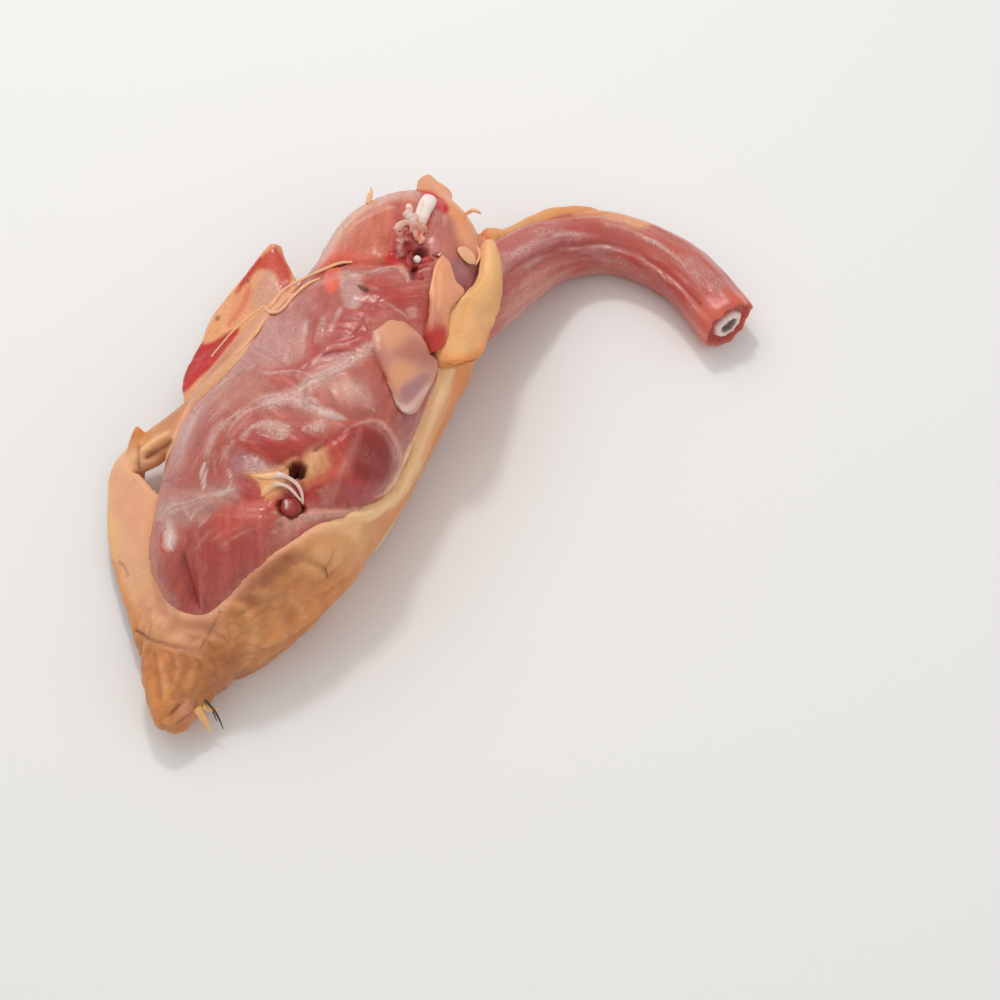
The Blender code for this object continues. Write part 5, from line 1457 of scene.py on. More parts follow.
skin_in = skin_depth(skin_points)
skin_tissue, skin_height, _ = paint(
    skin_points, skin_out, skin_base(skin_points, skin_in), SKIN_PATCHES, SKIN_LINES)
rump_area = ramp(-38.0, -66.0, skin_points[:, 1]) * ramp(-70.0, -50.0, skin_points[:, 0])
deep_in = ramp(1.0, 8.0, skin_in)
folds = (LONG_FOLDS * wrinkles(skin_points, 8.0, 101, turned_stretch(60, 2.4))
         + SHORT_FOLDS * wrinkles(skin_points, 4.5, 103, turned_stretch(100, 2.0)))
folds = folds * (0.1 + 0.9 * rump_area) * deep_in
skin_tissue = tinted(skin_tissue, "shade", FOLD_SHADE * np.clip(folds, 0, 1) * (0.2 + 0.8 * rump_area))
height = skin_height - FOLD_DEPTH * folds + WAVES * lumps(skin_points, 7, 111) * (0.4 + rump_area) * deep_in
height = np.maximum(height, -0.5 * np.clip(skin_lift(skin_points, skin_in), 0.0, 3.0))
skin_points = skin_points + skin_out * (height * ramp(0.4, 2.5, skin_points[:, 2]))[:, None]
skin_points[:, 2] = np.maximum(skin_points[:, 2], 0.0)
move_points(back_skin, skin_points)
store(back_skin, tissue=skin_tissue)
print("skin folds, mm:", height.min().round(1), "to", height.max().round(1))

# %% [markdown]
# ## The finish of skin
#
# Plucked chicken skin is leathery and greasy rather than wet. It has fine pores about a
# millimetre and a half apart, a net of creases 2.4 mm apart, and fat that glows warm underneath.
# So it is rougher than the meat, has a thinner coat, and scatters light further. Pores this fine
# are relief in the finish, because geometry for them would need millions of faces.

# %% Skin finish
PATCHY_MM, BLUSH_MM, PORE_MM, NET_MM, SKIN_GRAIN_MM, LEATHER_MM = 8.333, 16.67, 1.5625, 2.381, 1.4286, 7.692


def skin_finish(name):
    """Tissue colour with pale and pink patches, and a relief of pores, a net of creases and leather folds."""
    material, tree, shader = new_finish(name, 0.46, 0.2, 0.22, 1.6, ior=1.42)
    tissue = add(tree, "Attribute", {"attribute_name": "tissue"}).outputs["Color"]
    place = add(tree, "TexCoord").outputs["Object"]
    patchy = add(tree, "TexNoise", i0=place, Scale=per_metre(PATCHY_MM), Detail=5.0, Roughness=0.6)
    patchy_value = add(tree, "MapRange", Value=patchy, i1=0.3, i2=0.7, i3=0.93, i4=1.06)
    toned = add(tree, "HueSaturation", Value=patchy_value, Color=tissue)
    blush = add(tree, "TexNoise", i0=place, Scale=per_metre(BLUSH_MM), Detail=3.0)
    blush_value = add(tree, "MapRange", Value=blush, i1=0.5, i2=0.75, i3=0.0, i4=0.35)
    warm = add(tree, "Mix", COLOURS, i0=blush_value, i6=toned, i7=(*TISSUES["pink"], 1.0))
    tree.links.new(warm.outputs[2], shader.inputs["Base Color"])
    pores = add(tree, "TexVoronoi", {"feature": "SMOOTH_F1"}, i0=place, Scale=per_metre(PORE_MM))
    net = add(tree, "TexVoronoi", {"feature": "DISTANCE_TO_EDGE"}, i0=place, Scale=per_metre(NET_MM))
    net_value = add(tree, "MapRange", Value=net.outputs["Distance"], i1=0.0, i2=0.12, i3=-0.5, i4=0.0)
    fine = add(tree, "TexNoise", i0=place, Scale=per_metre(SKIN_GRAIN_MM), Detail=5.0, Roughness=0.65)
    relief = add(tree, "Math", TIMES_PLUS, i0=pores, i1=-0.35, i2=fine)
    relief = add(tree, "Math", {"operation": "ADD"}, i0=relief, i1=net_value)
    leather = add(tree, "TexNoise", RIDGED, i0=place, Scale=per_metre(LEATHER_MM), Detail=4.0, Roughness=0.55,
                  Offset=1.0)
    relief = add(tree, "Math", TIMES_PLUS, i0=leather, i1=-0.9, i2=relief)
    bump = add(tree, "Bump", Strength=0.55, Distance=0.3 * MM, Height=relief)
    tree.links.new(bump.outputs[0], shader.inputs["Normal"])
    return material


plucked_skin = skin_finish("plucked_skin")
finish_piece(back_skin, plucked_skin, "back_skin")

# %% [markdown]
# ## The breast flap
#
# A strip of breast membrane and meat still hangs beside the ribs. It is a bowed sheet that comes
# to a point at the front, beige in the middle, with a bright red cut rim and a blood-red tail
# end. A plane with a Solidify modifier would have a square rim. A pillow between an inner and an
# outer edge has the round one of soft tissue.

# %% Breast flap
BREAST_FLAP = (          # inner edge and outer edge
    (-60, -10, 20, -78.5, -11, 12), (-58, 4, 21, -86.2, 2.4, 9), (-55, 20, 22, -87.2, 18.6, 9),
    (-54, 34, 22.5, -87, 32.6, 11), (-61, 47, 20.5, -83.3, 45.8, 15), (-71, 57.5, 18, -80.4, 56.5, 17),
    (-75.5, 62.5, 18, -78, 62, 18),
)
BREAST_FLAP_THICK, BREAST_FLAP_BULGE = 2.8, 1.6
FLAP_PATCHES = (
    ("fat", 0.8, 5, 0, 206,340, 216,322, 224,304, 242,286, 254,280, 250,300, 236,322, 226,338, 212,344),
    ("pale", 0.8, 6, 0, 256,284, 264,272, 272,268, 279,282, 278,298, 264,306, 254,308, 252,296),
    ("blood", 0.85, 3, 0, 276,244, 284,258, 291,272, 289,290, 281,288, 277,276, 271,270, 258,270, 246,284,
     236,294, 238,286, 256,262),
    ("blood", 1, 2.5, 0, 200,344, 212,342, 232,330, 240,330, 226,350, 214,364, 202,376, 184,392, 176,384,
     186,362),
)
FLAP_LINES = (
    ("orange", 0.7, 4, 0, 250,286, 244,302, 236,316, 228,326),
    ("blood", 0.9, 1.8, 0.1, 262,257, 250,272, 240,286),
    ("wine", 0.8, 1.6, 0, 247,279, 249,283),
    ("wine", 0.8, 2, 0, 219,316, 216,321),
    ("wine", 0.5, 1.2, 0, 204,341, 195,356, 188,370, 185,382),
    ("wine", 0.6, 3, 0, 228,336, 220,346, 210,356),
    ("peach", 0.8, 2, 0, 273,248, 277,246, 280,252),
    ("film", 0.8, 4, 0, 272,276, 268,292, 256,306),
)


def paint_piece(obj, start, patches, lines, sharp, uneven=(0.0, 5, 0), film_more=0.0, fibrous=True):
    """Paint a piece from its tables, move its points by their heights and some unevenness, store the rest.

    Start gives the base colours for points. Uneven is a height, a size in mm and a seed. The grain
    runs along the body where the piece is fibrous, and otherwise it has none.
    """
    points, out = mesh_arrays(obj)
    amount, size, seed = uneven
    tissue, height, film = paint(points, out, start(points), patches, lines, sharp)
    move_points(obj, points + out * (height + amount * lumps(points, size, seed))[:, None])
    grain = np.stack([points[:, 1], points[:, 0], 0 * film], -1) if fibrous else points
    store(obj, tissue=tissue, film=film + film_more, grain=grain)
    return obj


sheet = flap_grid(BREAST_FLAP, BREAST_FLAP_BULGE, 190, 60)
sheet[..., 2] += 0.8 * lumps(sheet, 12, 121) - BREAST_FLAP_THICK / 2
sheet[..., :2] += 0.5 * lumps(sheet, 5, 123)[..., None]
breast_flap = paint_piece(
    new_piece("breast_flap_piece", *compact(*pillow(sheet, BREAST_FLAP_THICK / 2))),
    lambda points: tinted(TISSUES["fat"], "peach", np.clip(lumps(points, 10, 131), 0, 1)),
    FLAP_PATCHES, FLAP_LINES, 0.5, (0.25, 5, 133), 0.1)
finish_piece(breast_flap, raw_muscle, "breast_flap")

# %% [markdown]
# ## The fold of neck skin
#
# The skin of the neck is gathered into one heavy fold that hangs over the back like a tie: narrow
# at the shoulder, broad below, with a loose lower edge. It could be part of the welded skin, but
# the weld would round its crisp lower edge. So it is a closed tube of its own between a left and
# a right edge, crowned on its upper side. Long shallow waves make its pleats.

# %% Neck fold
NECK_FOLD = (            # left edge and right edge, from the shoulder down
    (-0.8, 74.7, 44, 1.1, 75.6, 42), (3.5, 64.3, 46.5, 6.7, 70.2, 40.5),
    (5.7, 54.5, 48.5, 11.3, 60.8, 39.5), (3.2, 45.2, 50, 13.6, 53.1, 39),
    (-0.4, 36.8, 51, 14.7, 46.8, 39.5), (0.9, 30.2, 51, 15.1, 41.2, 40),
    (1.9, 24.8, 50.5, 16.2, 34.7, 41), (3.8, 20.4, 49, 16.6, 28.5, 42.5), (7.2, 17.8, 48, 13.8, 22.8, 44),
)
FOLD_CROWN, FOLD_BELOW = 3.7, 2.6
FOLD_PATCHES = (
    ("butter", 0.5, 4, 0, 478,238, 492,246, 492,290, 478,310, 470,335, 462,362, 438,360, 440,330, 450,305,
     476,285, 482,262),
    ("amber", 0.8, 6, 0, 440,350, 456,356, 476,350, 490,330, 486,352, 470,372, 444,372),
    ("cream", 0.5, 4, 0, 480,242, 490,250, 488,270, 484,266),
)
FOLD_LINES = (
    ("amber", 0.25, 4, -0.2, 468,300, 463,318, 458,334),
    # painted shadow along the fold's loose lower edge
    ("brown", 0.6, 1, -0.5, 446,364, 456,366, 468,362, 480,359),
    ("amber", 0.4, 3, 0, 448,318, 446,334, 444,350),
    ("cream", 0.6, 1.4, 0.2, 481,262, 479,276, 470,288, 460,302, 448,318),
)
print("length of the fold:", np.linalg.norm(np.subtract(NECK_FOLD[0][:3], NECK_FOLD[-1][:3])).round(), "mm")

# %% Shape of the neck fold
FOLD_RINGS, FOLD_SIDES = 170, 84
FOLD_LONG, FOLD_END = 40, 1.8          # length of the fold, and of its rounded ends, in mm
PLEAT_HEIGHT, PLEATS = 0.2, 5.0

rows = along_rows(NECK_FOLD, FOLD_RINGS)
left, right = rows[:, :3], rows[:, 3:]
middle, wide = (left + right) / 2, right - left
outward = unit(np.cross(np.gradient(middle, axis=0), wide))
outward *= np.sign(outward[:, 2:])
to_end = np.minimum(np.linspace(0, FOLD_LONG, FOLD_RINGS), np.linspace(FOLD_LONG - 6, 0, FOLD_RINGS))
ends = np.sqrt(1 - (1 - np.clip(to_end / FOLD_END, 0.02, 1)) ** 2)[:, None]
side, rise = np.cos(round_ring(FOLD_SIDES)), np.sin(round_ring(FOLD_SIDES))
half = 0.5 * ends * (1 + 0.07 * lumps(left, 3, 221)[:, None]) * np.sign(side) * np.abs(side) ** 0.75
thick = np.where(rise > 0, FOLD_CROWN, FOLD_BELOW) * ends * np.sign(rise) * np.abs(rise) ** 0.7
pleats = PLEAT_HEIGHT * np.cos(side * PLEATS + 1.5 * lumps(left, 9, 223)[:, None]) * (rise > 0) * ends
fold = middle[:, None] + wide[:, None] * half[..., None] + outward[:, None] * (thick + pleats)[..., None]
neck_fold = paint_piece(
    new_piece("neck_fold_piece", *closed_tube(fold)),
    lambda points: TISSUES["butter"] * (0.88 + 0.04 * lumps(points, 8, 225))[:, None],
    FOLD_PATCHES, FOLD_LINES, 0.5, (0.12, 5, 227))
finish_piece(neck_fold, plucked_skin, "back_skin")

# %% [markdown]
# ## Plates that lie on the meat
#
# The cartilage of the shoulder blade, the peach strip at the shoulder joint and the cream fascia
# over the hip are thin plates with their own outlines. Each is a pillow in round coordinates:
# spokes run from the middle to the outline, and every point is laid on the finished meat. The
# outlines are given as they are seen, and a search on the meat turns them into plan places.
# The fascia's outline is given here; the fascia is made and joined to the tendons further down.

# %% Outlines laid on the meat
PLATE_RINGS, PLATE_SIDES = 34, 150
THINNEST = 0.5           # mm between the two faces of a plate


def plate(seen_outline, low, thick, crown, tilt=(0.0, 0.0)):
    """Spokes from the middle of an outline to its edge, laid on the meat, with a top and a bottom.

    Low is the height of its lower face over the meat. Tilt raises it by so many mm for each mm
    to the back and to the front of its middle.
    """
    outline = seen_on(meat_surface, seen_outline)[0][:, :2]
    edge = along_rows((*outline, outline[0]), PLATE_SIDES + 1)[:-1]
    middle = edge.mean(0)
    share = np.sin(np.linspace(0.02, 1, PLATE_RINGS) * np.pi / 2)[:, None, None]
    plan = middle + (edge - middle) * share
    place, normals = on_meat(plan[..., 0], plan[..., 1])
    width = np.linalg.norm(edge - middle, axis=1)[None, :]
    near = np.clip((1 - share[..., 0]) * width / (thick / 2), 0, 1)
    half = thick / 2 * np.sqrt(1 - (1 - near) ** 2)
    rise = low + thick / 2 + crown * (1 - share[..., 0] ** 2) + (plan - middle) @ np.array(tilt)
    top = place + normals * (rise + half)[..., None]
    bottom = place + normals * np.minimum(rise - half, rise + half - THINNEST)[..., None]
    return closed_tube(np.concatenate([top, bottom[::-1]]))


BLADE = ((372, 323), (380, 316), (391, 313), (402, 319), (415, 330), (425, 342), (434, 358), (436, 368),
         (430, 381), (422, 395), (414, 410), (405, 413), (398, 408), (392, 394), (386, 378), (377, 360),
         (369, 345), (367, 333))
STRIP = ((441.7, 259), (435, 265), (432, 277), (429, 290), (428, 305), (426, 318), (424, 330), (424, 342),
         (428, 351), (436, 352), (443, 345), (443, 325), (447, 310), (458, 298), (460, 291), (453, 284),
         (449, 273), (446.7, 266))
FASCIA = ((249, 474), (256, 473.5), (264, 473), (272, 472), (280, 472), (286, 475), (290, 478),
          (288, 484), (282, 487), (275, 490), (268, 494), (262, 497), (261, 491), (259, 484), (254, 479))
print(len(BLADE), len(STRIP), len(FASCIA), "points in the three outlines")

# %% Blade and strip
BLADE_PATCHES = (
    ("mauve", 0.7, 9, 0, 356,320, 368,312, 380,334, 386,356, 392,378, 396,400, 384,394, 368,362),
    ("fat", 0.5, 10, 0, 374,324, 386,314, 402,320, 410,334, 402,348, 390,348, 378,338),
    ("mauve", 0.75, 8, 0, 394,352, 412,338, 430,350, 440,368, 418,362, 402,362),
    ("fat", 0.6, 8, 0, 388,368, 402,361, 416,367, 410,380, 398,388, 390,384),
    ("lilac", 0.95, 3.5, -0.25, 398,402, 401,388, 412,380, 426,373, 429,381, 419,396, 408,406),
    ("white", 0.5, 3, 0, 396,402, 405,411, 417,404, 431,383, 426,385, 414,400, 405,405),
    ("violet", 0.2, 3, 0, 402,396, 410,386, 422,378, 424,384, 412,398),
)
BLADE_LINES = (
    ("mauve", 0.9, 4, 0, 371,328, 368,344, 376,361, 385,379, 391,393),
    ("flesh", 0.6, 3, 0, 371,327, 380,317, 391,313, 402,319, 414,330),
    ("pale", 0.95, 2.8, 0.4, 436,360, 434,374, 424,393, 414,408, 405,411, 397,406, 392,394, 388,382),
    ("white", 0.8, 1.7, 0.3, 432,380, 422,396, 413,408, 405,410.5, 398,405, 393,395),
    ("peach", 0.5, 2.5, 0.2, 390,312, 404,321, 418,334, 430,352),
)
STRIP_PATCHES = (
    ("blood", 0.9, 6, 0.3, 420,326, 432,320, 446,326, 448,342, 438,356, 422,354),
    ("peach", 0.7, 8, 0, 426,286, 438,282, 448,306, 440,322, 426,322),
    ("mauve", 0.4, 6, 0, 424,304, 434,300, 442,318, 440,330, 424,330),
    ("wine", 0.5, 3, 0, 424,334, 432,338, 430,350, 424,348),
)
STRIP_LINES = (
    ("cream", 0.6, 1.2, 0.3, 441,260, 436,268, 433,280, 430,296, 428,312),
    ("butter", 0.5, 2.4, 0.1, 440,272, 440,292, 438,310),
    ("pale", 0.6, 1.6, 0.1, 434,306, 433,318, 431,330),
)


def painted_plate(name, shape, base, patches, lines, lumpiness, seed):
    """A plate as an object with tissue, film and grain, and a slightly uneven face."""
    start = TISSUES[base] if isinstance(base, str) else base
    return paint_piece(
        new_piece(name, *shape), lambda points: start * (1 + 0.12 * lumps(points, 6, seed))[:, None],
        patches, lines, 0.4, (lumpiness, 4, seed + 3))


wet_cartilage = meat_finish("wet_cartilage", 0.5, 0.5, grainy=0.25)
blade = painted_plate("shoulder_blade_piece", plate(BLADE, -1.0, 1.8, 0.8, (0.085, -0.05)),
                      "pale", BLADE_PATCHES, BLADE_LINES, 0.12, 141)
finish_piece(blade, wet_cartilage, "shoulder_blade")
strip = painted_plate("shoulder_strip_piece", plate(STRIP, CLEAR, 2.2, 0.5), "peach",
                      STRIP_PATCHES, STRIP_LINES, 0.25, 151)
finish_piece(strip, wet_cartilage, "shoulder_strip")

# %% [markdown]
# ## The opened hip
#
# In the opened hip sits the dark, wet end of the thigh bone. A patch of cream fascia lies beside
# it, and two flat tendons leave the patch, bend over the joint and meet in one thin tip. The ball
# is an uneven sphere. The tendons could be painted on the meat, but they stand free over the
# socket and cast a shadow in it. So they are tubes along a route that is given as seen, with its
# height over the meat and its two half sizes.

# %% Balls and strands
BALL_RINGS, BALL_SIDES = 40, 60
from_top = np.linspace(0.02, np.pi - 0.02, BALL_RINGS)
turn_a, turn_b = np.meshgrid(from_top, round_ring(BALL_SIDES), indexing="ij")
SPHERE = np.stack([np.sin(turn_a) * np.cos(turn_b), np.sin(turn_a) * np.sin(turn_b), np.cos(turn_a)], -1)


def blob(place, half_sizes, seed, lumpy=0.2, turn=0.0, facing=TO_CAMERA):
    """Uneven ball: half sizes to the right, to the top and towards facing, turned about facing."""
    c, s = np.cos(np.radians(turn)), np.sin(np.radians(turn))
    right = unit(TO_RIGHT - facing * (TO_RIGHT @ facing))
    top = np.cross(facing, right)
    axes = np.stack([c * right + s * top, c * top - s * right, facing])
    size = 1 + lumpy * lumps(SPHERE + seed, 0.9, seed, 2)[..., None]
    return closed_tube(np.reshape(place, 3) + (SPHERE * size * np.array(half_sizes)) @ axes)


def strand(surface, stations, rings=60, sides=16):
    """Flattened tube over a surface.

    A row has pixel x and y, the height over the surface, half width and half height in mm. Each
    row is raised to the mean of its neighbours where it lies below, so the tube spans small gaps.
    """
    rows = np.asarray(stations, float)
    place = seen_on(surface, rows[:, :2], rows[:, 2])[0]
    depth = place @ TO_CAMERA
    taut = depth.copy()
    for _ in range(4):
        taut[1:-1] = np.maximum(taut[1:-1], (taut[:-2] + 2 * taut[1:-1] + taut[2:]) / 4)
    place = place + (taut - depth)[:, None] * TO_CAMERA
    return lobe(np.column_stack([place, rows[:, 3:]]), rings, sides)


print("points of a ball:", SPHERE[..., 0].size)

# %% [markdown]
# The three tendons start on the fascia and end in one place over the ball, as the photograph
# shows. They are joined to the fascia as one object, because they are one piece of tissue.

# %% Hip ball, fascia and tendons
BALL_AT, BALL_RADIUS = (-15.5, -53, 52), 3.4
BALL_HIGHLIGHTS = (
    # painted highlight: a lilac and a white glint on the wet ball
    ("lilac", 0.5, 2.5, 0, 283,502, 288,500, 292,504, 289,509, 284,508),
    ("white", 0.7, 1.2, 0, 285,500, 287,500, 287.5,507, 286,509),
)
TENDONS = (
    ((276, 475, 0.5, 1.4, 0.6), (284, 477, 1.6, 0.95, 0.5), (291, 480.5, 2.3, 0.75, 0.45),
     (296, 485, 2.6, 0.7, 0.4), (299.5, 490.5, 2.6, 0.6, 0.4), (301.3, 496.5, 2.4, 0.5, 0.35),
     (302, 504, 1.8, 0.28, 0.28)),
    ((274, 484, 0.5, 1.3, 0.6), (281, 485.3, 1.5, 0.85, 0.5), (287, 487.5, 2.2, 0.65, 0.4),
     (292, 491.5, 2.4, 0.6, 0.4), (296.5, 497, 2.3, 0.5, 0.35), (300, 501, 2.1, 0.4, 0.3),
     (301.7, 504, 1.7, 0.25, 0.25)),
    ((285, 478.5, 1.2, 0.35, 0.3), (290, 482.3, 1.8, 0.35, 0.3), (295, 487.3, 2.1, 0.3, 0.3),
     (299, 494, 2.2, 0.3, 0.3)),
)
TENDON_TISSUES = ("fat", "film", "film", "wine")        # of the fascia and the three strands
FASCIA_PATCHES = (
    ("cream", 0.7, 4, 0, 262,474, 274,472, 286,474, 292,481, 284,486, 272,482),
    ("cream", 0.6, 4, 0, 262,492, 272,484, 284,486, 272,496),
)
FASCIA_LINES = (
    ("shade", 0.35, 1.2, -0.15, 258,479, 268,480, 280,479),
    ("cream", 0.6, 2.5, 0.15, 256,476, 268,475, 280,476, 288,479),
    ("cream", 0.5, 2, 0.15, 264,490, 272,486, 282,484),
    ("cream", 0.7, 0.8, 0.1, 284,475.5, 292,479, 298,485, 301.5,492, 302,500),
    ("cream", 0.7, 0.7, 0.1, 281,484, 288,486, 293,490, 297.5,496),
)
hip_ball = paint_piece(
    new_piece("hip_ball_piece", *blob(BALL_AT, (BALL_RADIUS,) * 3, 161, 0.14)),
    lambda points: tinted(TISSUES["wine"], "deep", ramp(-0.3, 0.5, lumps(points, 2.5, 163))),
    BALL_HIGHLIGHTS, (), 0.3, fibrous=False)
wet_joint = meat_finish("wet_joint", 0.4, 0.6)
finish_piece(hip_ball, wet_joint, "hip_ball")
fascia_parts = [plate(FASCIA, -0.75, 1.1, 0.8)] + [strand(meat_surface, t) for t in TENDONS]
fascia_base = np.concatenate([np.broadcast_to(TISSUES[tissue], points.shape)
                              for tissue, (points, _) in zip(TENDON_TISSUES, fascia_parts)])
fascia = painted_plate("hip_tendon_piece", joined(fascia_parts), fascia_base, FASCIA_PATCHES, FASCIA_LINES,
                       0.08, 171)
finish_piece(fascia, wet_cartilage, "hip_tendon")

# %% [markdown]
# ## The opened shoulder
#
# A white rod of bone stands in a nest of torn pink cartilage, with a red lobe of muscle, a bead
# of white cartilage deep in the joint and a disc of clear tissue on the skin beside it. The rod
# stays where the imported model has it. The torn bits are uneven balls and short strands on the
# meat. They are welded into one lump, since torn tissue hangs together, and each takes its
# colour from the nearest balls.

# %% Shoulder bone
BONE_ROUTE = ((-20.5, 65.5, 55.4, 2.5, 2), (-20.8, 68.5, 55, 2.6, 2.2), (-21.4, 72, 54.2, 2.7, 2.3),
              (-21.8, 75.5, 53.2, 2.9, 2.4), (-22.0, 78, 52.4, 2.7, 2.2))
BONE_PATCHES = (("pale", 0.5, 3, 0, 414,216, 428,218, 426,228, 414,226),)
BONE_LINES = (("pale", 0.4, 1, -0.15, 424,200, 421,212, 418,222),)
bone = painted_plate("shoulder_bone_piece", lobe(BONE_ROUTE, 60, 40), "white", BONE_PATCHES, BONE_LINES,
                     0.15, 181)
finish_piece(bone, wet_cartilage, "shoulder_bone")

# %% Torn cartilage and the bead
CARTILAGE_BLOBS = (      # pixel, height over the meat, half sizes, turn, tissue
    ((409.5, 210.5), 0.6, (1.3, 1.9, 0.8), 20, "film"),
    ((408, 216), 0.5, (1.8, 1.9, 0.9), -20, "film"),
    ((412, 219.5), 0.7, (2.0, 1.7, 1.0), 30, "film"),
    ((414, 223.5), 0.7, (2.1, 1.5, 1.2), 30, "pale"),
    ((396, 229), -0.3, (2.2, 1.5, 0.8), 25, "pale"),
    ((400, 226), 0.1, (2.1, 1.4, 0.9), 30, "film"),
    ((404.5, 224), 0.5, (1.9, 1.2, 0.9), 5, "pale"),
    ((411, 229), 0.2, (1.1, 2.0, 1.0), -10, "pale"),
    ((406, 232), -0.3, (1.4, 1.2, 1.0), 20, "deep"),
    ((416, 228), 0.8, (1.6, 1.5, 1.4), -10, "pale"),
    ((420.5, 232), 0.7, (1.4, 2.2, 1.4), -15, "pink"),
    ((415.5, 236), 0.4, (1.3, 2.0, 1.3), 10, "pale"),
    ((424.5, 230), 0.5, (1.1, 1.7, 1.1), 20, "pale"),
    ((421, 240), 0.2, (1.5, 1.3, 1.0), -5, "pink"),
    ((402, 240), 0.5, (2.6, 2.0, 1.8), -20, "mauve"),
    ((399, 246), 0.5, (2.2, 2.6, 1.8), -20, "deep"),
    ((400, 254), 0.2, (2.0, 2.8, 1.6), 10, "mauve"),
    ((406, 247), 0.3, (1.4, 3.2, 1.6), 14, "deep"),
    ((405, 257), -0.2, (1.5, 2.6, 1.2), 8, "deep"),
    ((393, 258), -0.6, (2.2, 2.4, 1.1), 25, "blood"),
    ((427, 261), -0.4, (2.8, 1.9, 1.2), 12, "deep"),
    ((424, 267), -0.6, (2.2, 1.6, 1.0), -12, "deep"),
    ((436, 257), -0.5, (2.0, 1.3, 1.0), -10, "wine"),
    ((409, 266), -0.5, (1.1, 2.8, 1.1), 8, "deep"),
    ((420, 279), -0.6, (1.2, 2.6, 1.0), -20, "deep"),
)
CARTILAGE_STRANDS = (
    ((396, 233, -0.3, 0.6, 0.5), (400, 235, 0.6, 0.7, 0.6), (405, 236, 0.7, 0.7, 0.6),
     (410, 241, 0.2, 0.6, 0.5)),
    ((413, 231, 0.3, 0.8, 0.5), (416, 238, 0.7, 0.8, 0.5), (420, 244, 0.3, 0.7, 0.4)),
    ((405, 238, 0, 0.9, 0.8), (409, 243, 0.4, 1, 0.8), (411, 250, 0, 0.8, 0.6)),
)
CARTILAGE_PATCHES = (
    ("wine", 0.95, 1.2, -0.5, 404.5,226.5, 408.5,226, 409.5,231, 405,232),
    ("blood", 0.6, 1.5, -0.4, 418,231, 421,230, 421,237, 418,236),
    ("wine", 0.7, 2, -0.3, 404,244, 409,242, 410,252, 406,256),
    # painted highlight: lilac glints on the glossy red lobe
    ("lilac", 0.6, 1.5, 0, 397,248, 400,246, 402,255, 398,257),
    ("film", 0.8, 1.2, 0, 401,238, 404,238, 400,250, 398,248),
)
CARTILAGE_LINES = (
    ("wine", 0.8, 0.9, -0.3, 398,232, 402,231, 405,234, 403,238),
    ("blood", 0.6, 1, -0.2, 411,233, 413,240, 411,246),
    ("film", 0.8, 0.8, 0.1, 394,229, 399,224, 405,222, 411,224),
    ("film", 0.7, 0.8, 0.1, 414,239, 418,243, 423,241, 426,234),
    ("film", 0.7, 0.8, 0.1, 395,250, 398,243, 403,238, 408,240),
)
MM_PER_PIXEL = 0.35
NEST_VOXEL, NEST_PASSES = 0.3, 2

nest = [blob(seen_on(meat_surface, pixel, lift)[0], sizes, 300 + int(pixel[0]), 0.35, turn)
        for pixel, lift, sizes, turn, _ in CARTILAGE_BLOBS]
nest += [strand(meat_surface, stations, 40, 14) for stations in CARTILAGE_STRANDS]
torn_cartilage = welded("torn_cartilage_piece", nest, NEST_VOXEL, NEST_PASSES)
points, out = mesh_arrays(torn_cartilage)
points = points + out * (0.3 * lumps(points, 1.5, 311, 3))[:, None]
nest_px = photo_place(points)
nearness = np.stack([
    np.exp(-1.6 * np.sum((nest_px - pixel) ** 2, axis=1) / (np.mean(sizes[:2]) / MM_PER_PIXEL) ** 2)
    for pixel, _, sizes, _, _ in CARTILAGE_BLOBS], axis=1) + 1e-9
start = nearness @ np.array([TISSUES[row[4]] for row in CARTILAGE_BLOBS]) / nearness.sum(1, keepdims=True)
start = start * (1 + 0.22 * lumps(points, 1.8, 313, 2))[:, None]
tissue, height, film = paint(points, out, start, CARTILAGE_PATCHES, CARTILAGE_LINES, 0.2)
move_points(torn_cartilage, points + out * height[:, None])
store(torn_cartilage, tissue=tissue, film=film, grain=points)
finish_piece(torn_cartilage, wet_joint, "trunk")

BEAD_SEEN_AT, BEAD_LIFT, BEAD_HALVES = (416.5, 262), 1.3, (1.2, 1.5, 1.0)
bead_at = seen_on(meat_surface, BEAD_SEEN_AT, BEAD_LIFT)[0]
bead = new_piece("cartilage_bead_piece", *blob(bead_at, BEAD_HALVES, 331, 0.2))
points, _ = mesh_arrays(bead)
store(bead, tissue=np.broadcast_to(TISSUES["white"], points.shape), film=0 * points[:, 0], grain=points)
finish_piece(bead, wet_cartilage, "trunk")

# %% [markdown]
# ## Loose bits of skin
#
# Small things make the cut look real: two thin strands of skin that twist into a knot over the
# ribs, a disc of clear tissue on the collar, shreds at the neck, and dark pin feathers with a
# shred of skin at the tail. They are strands and flattened balls laid on the skin or the meat.

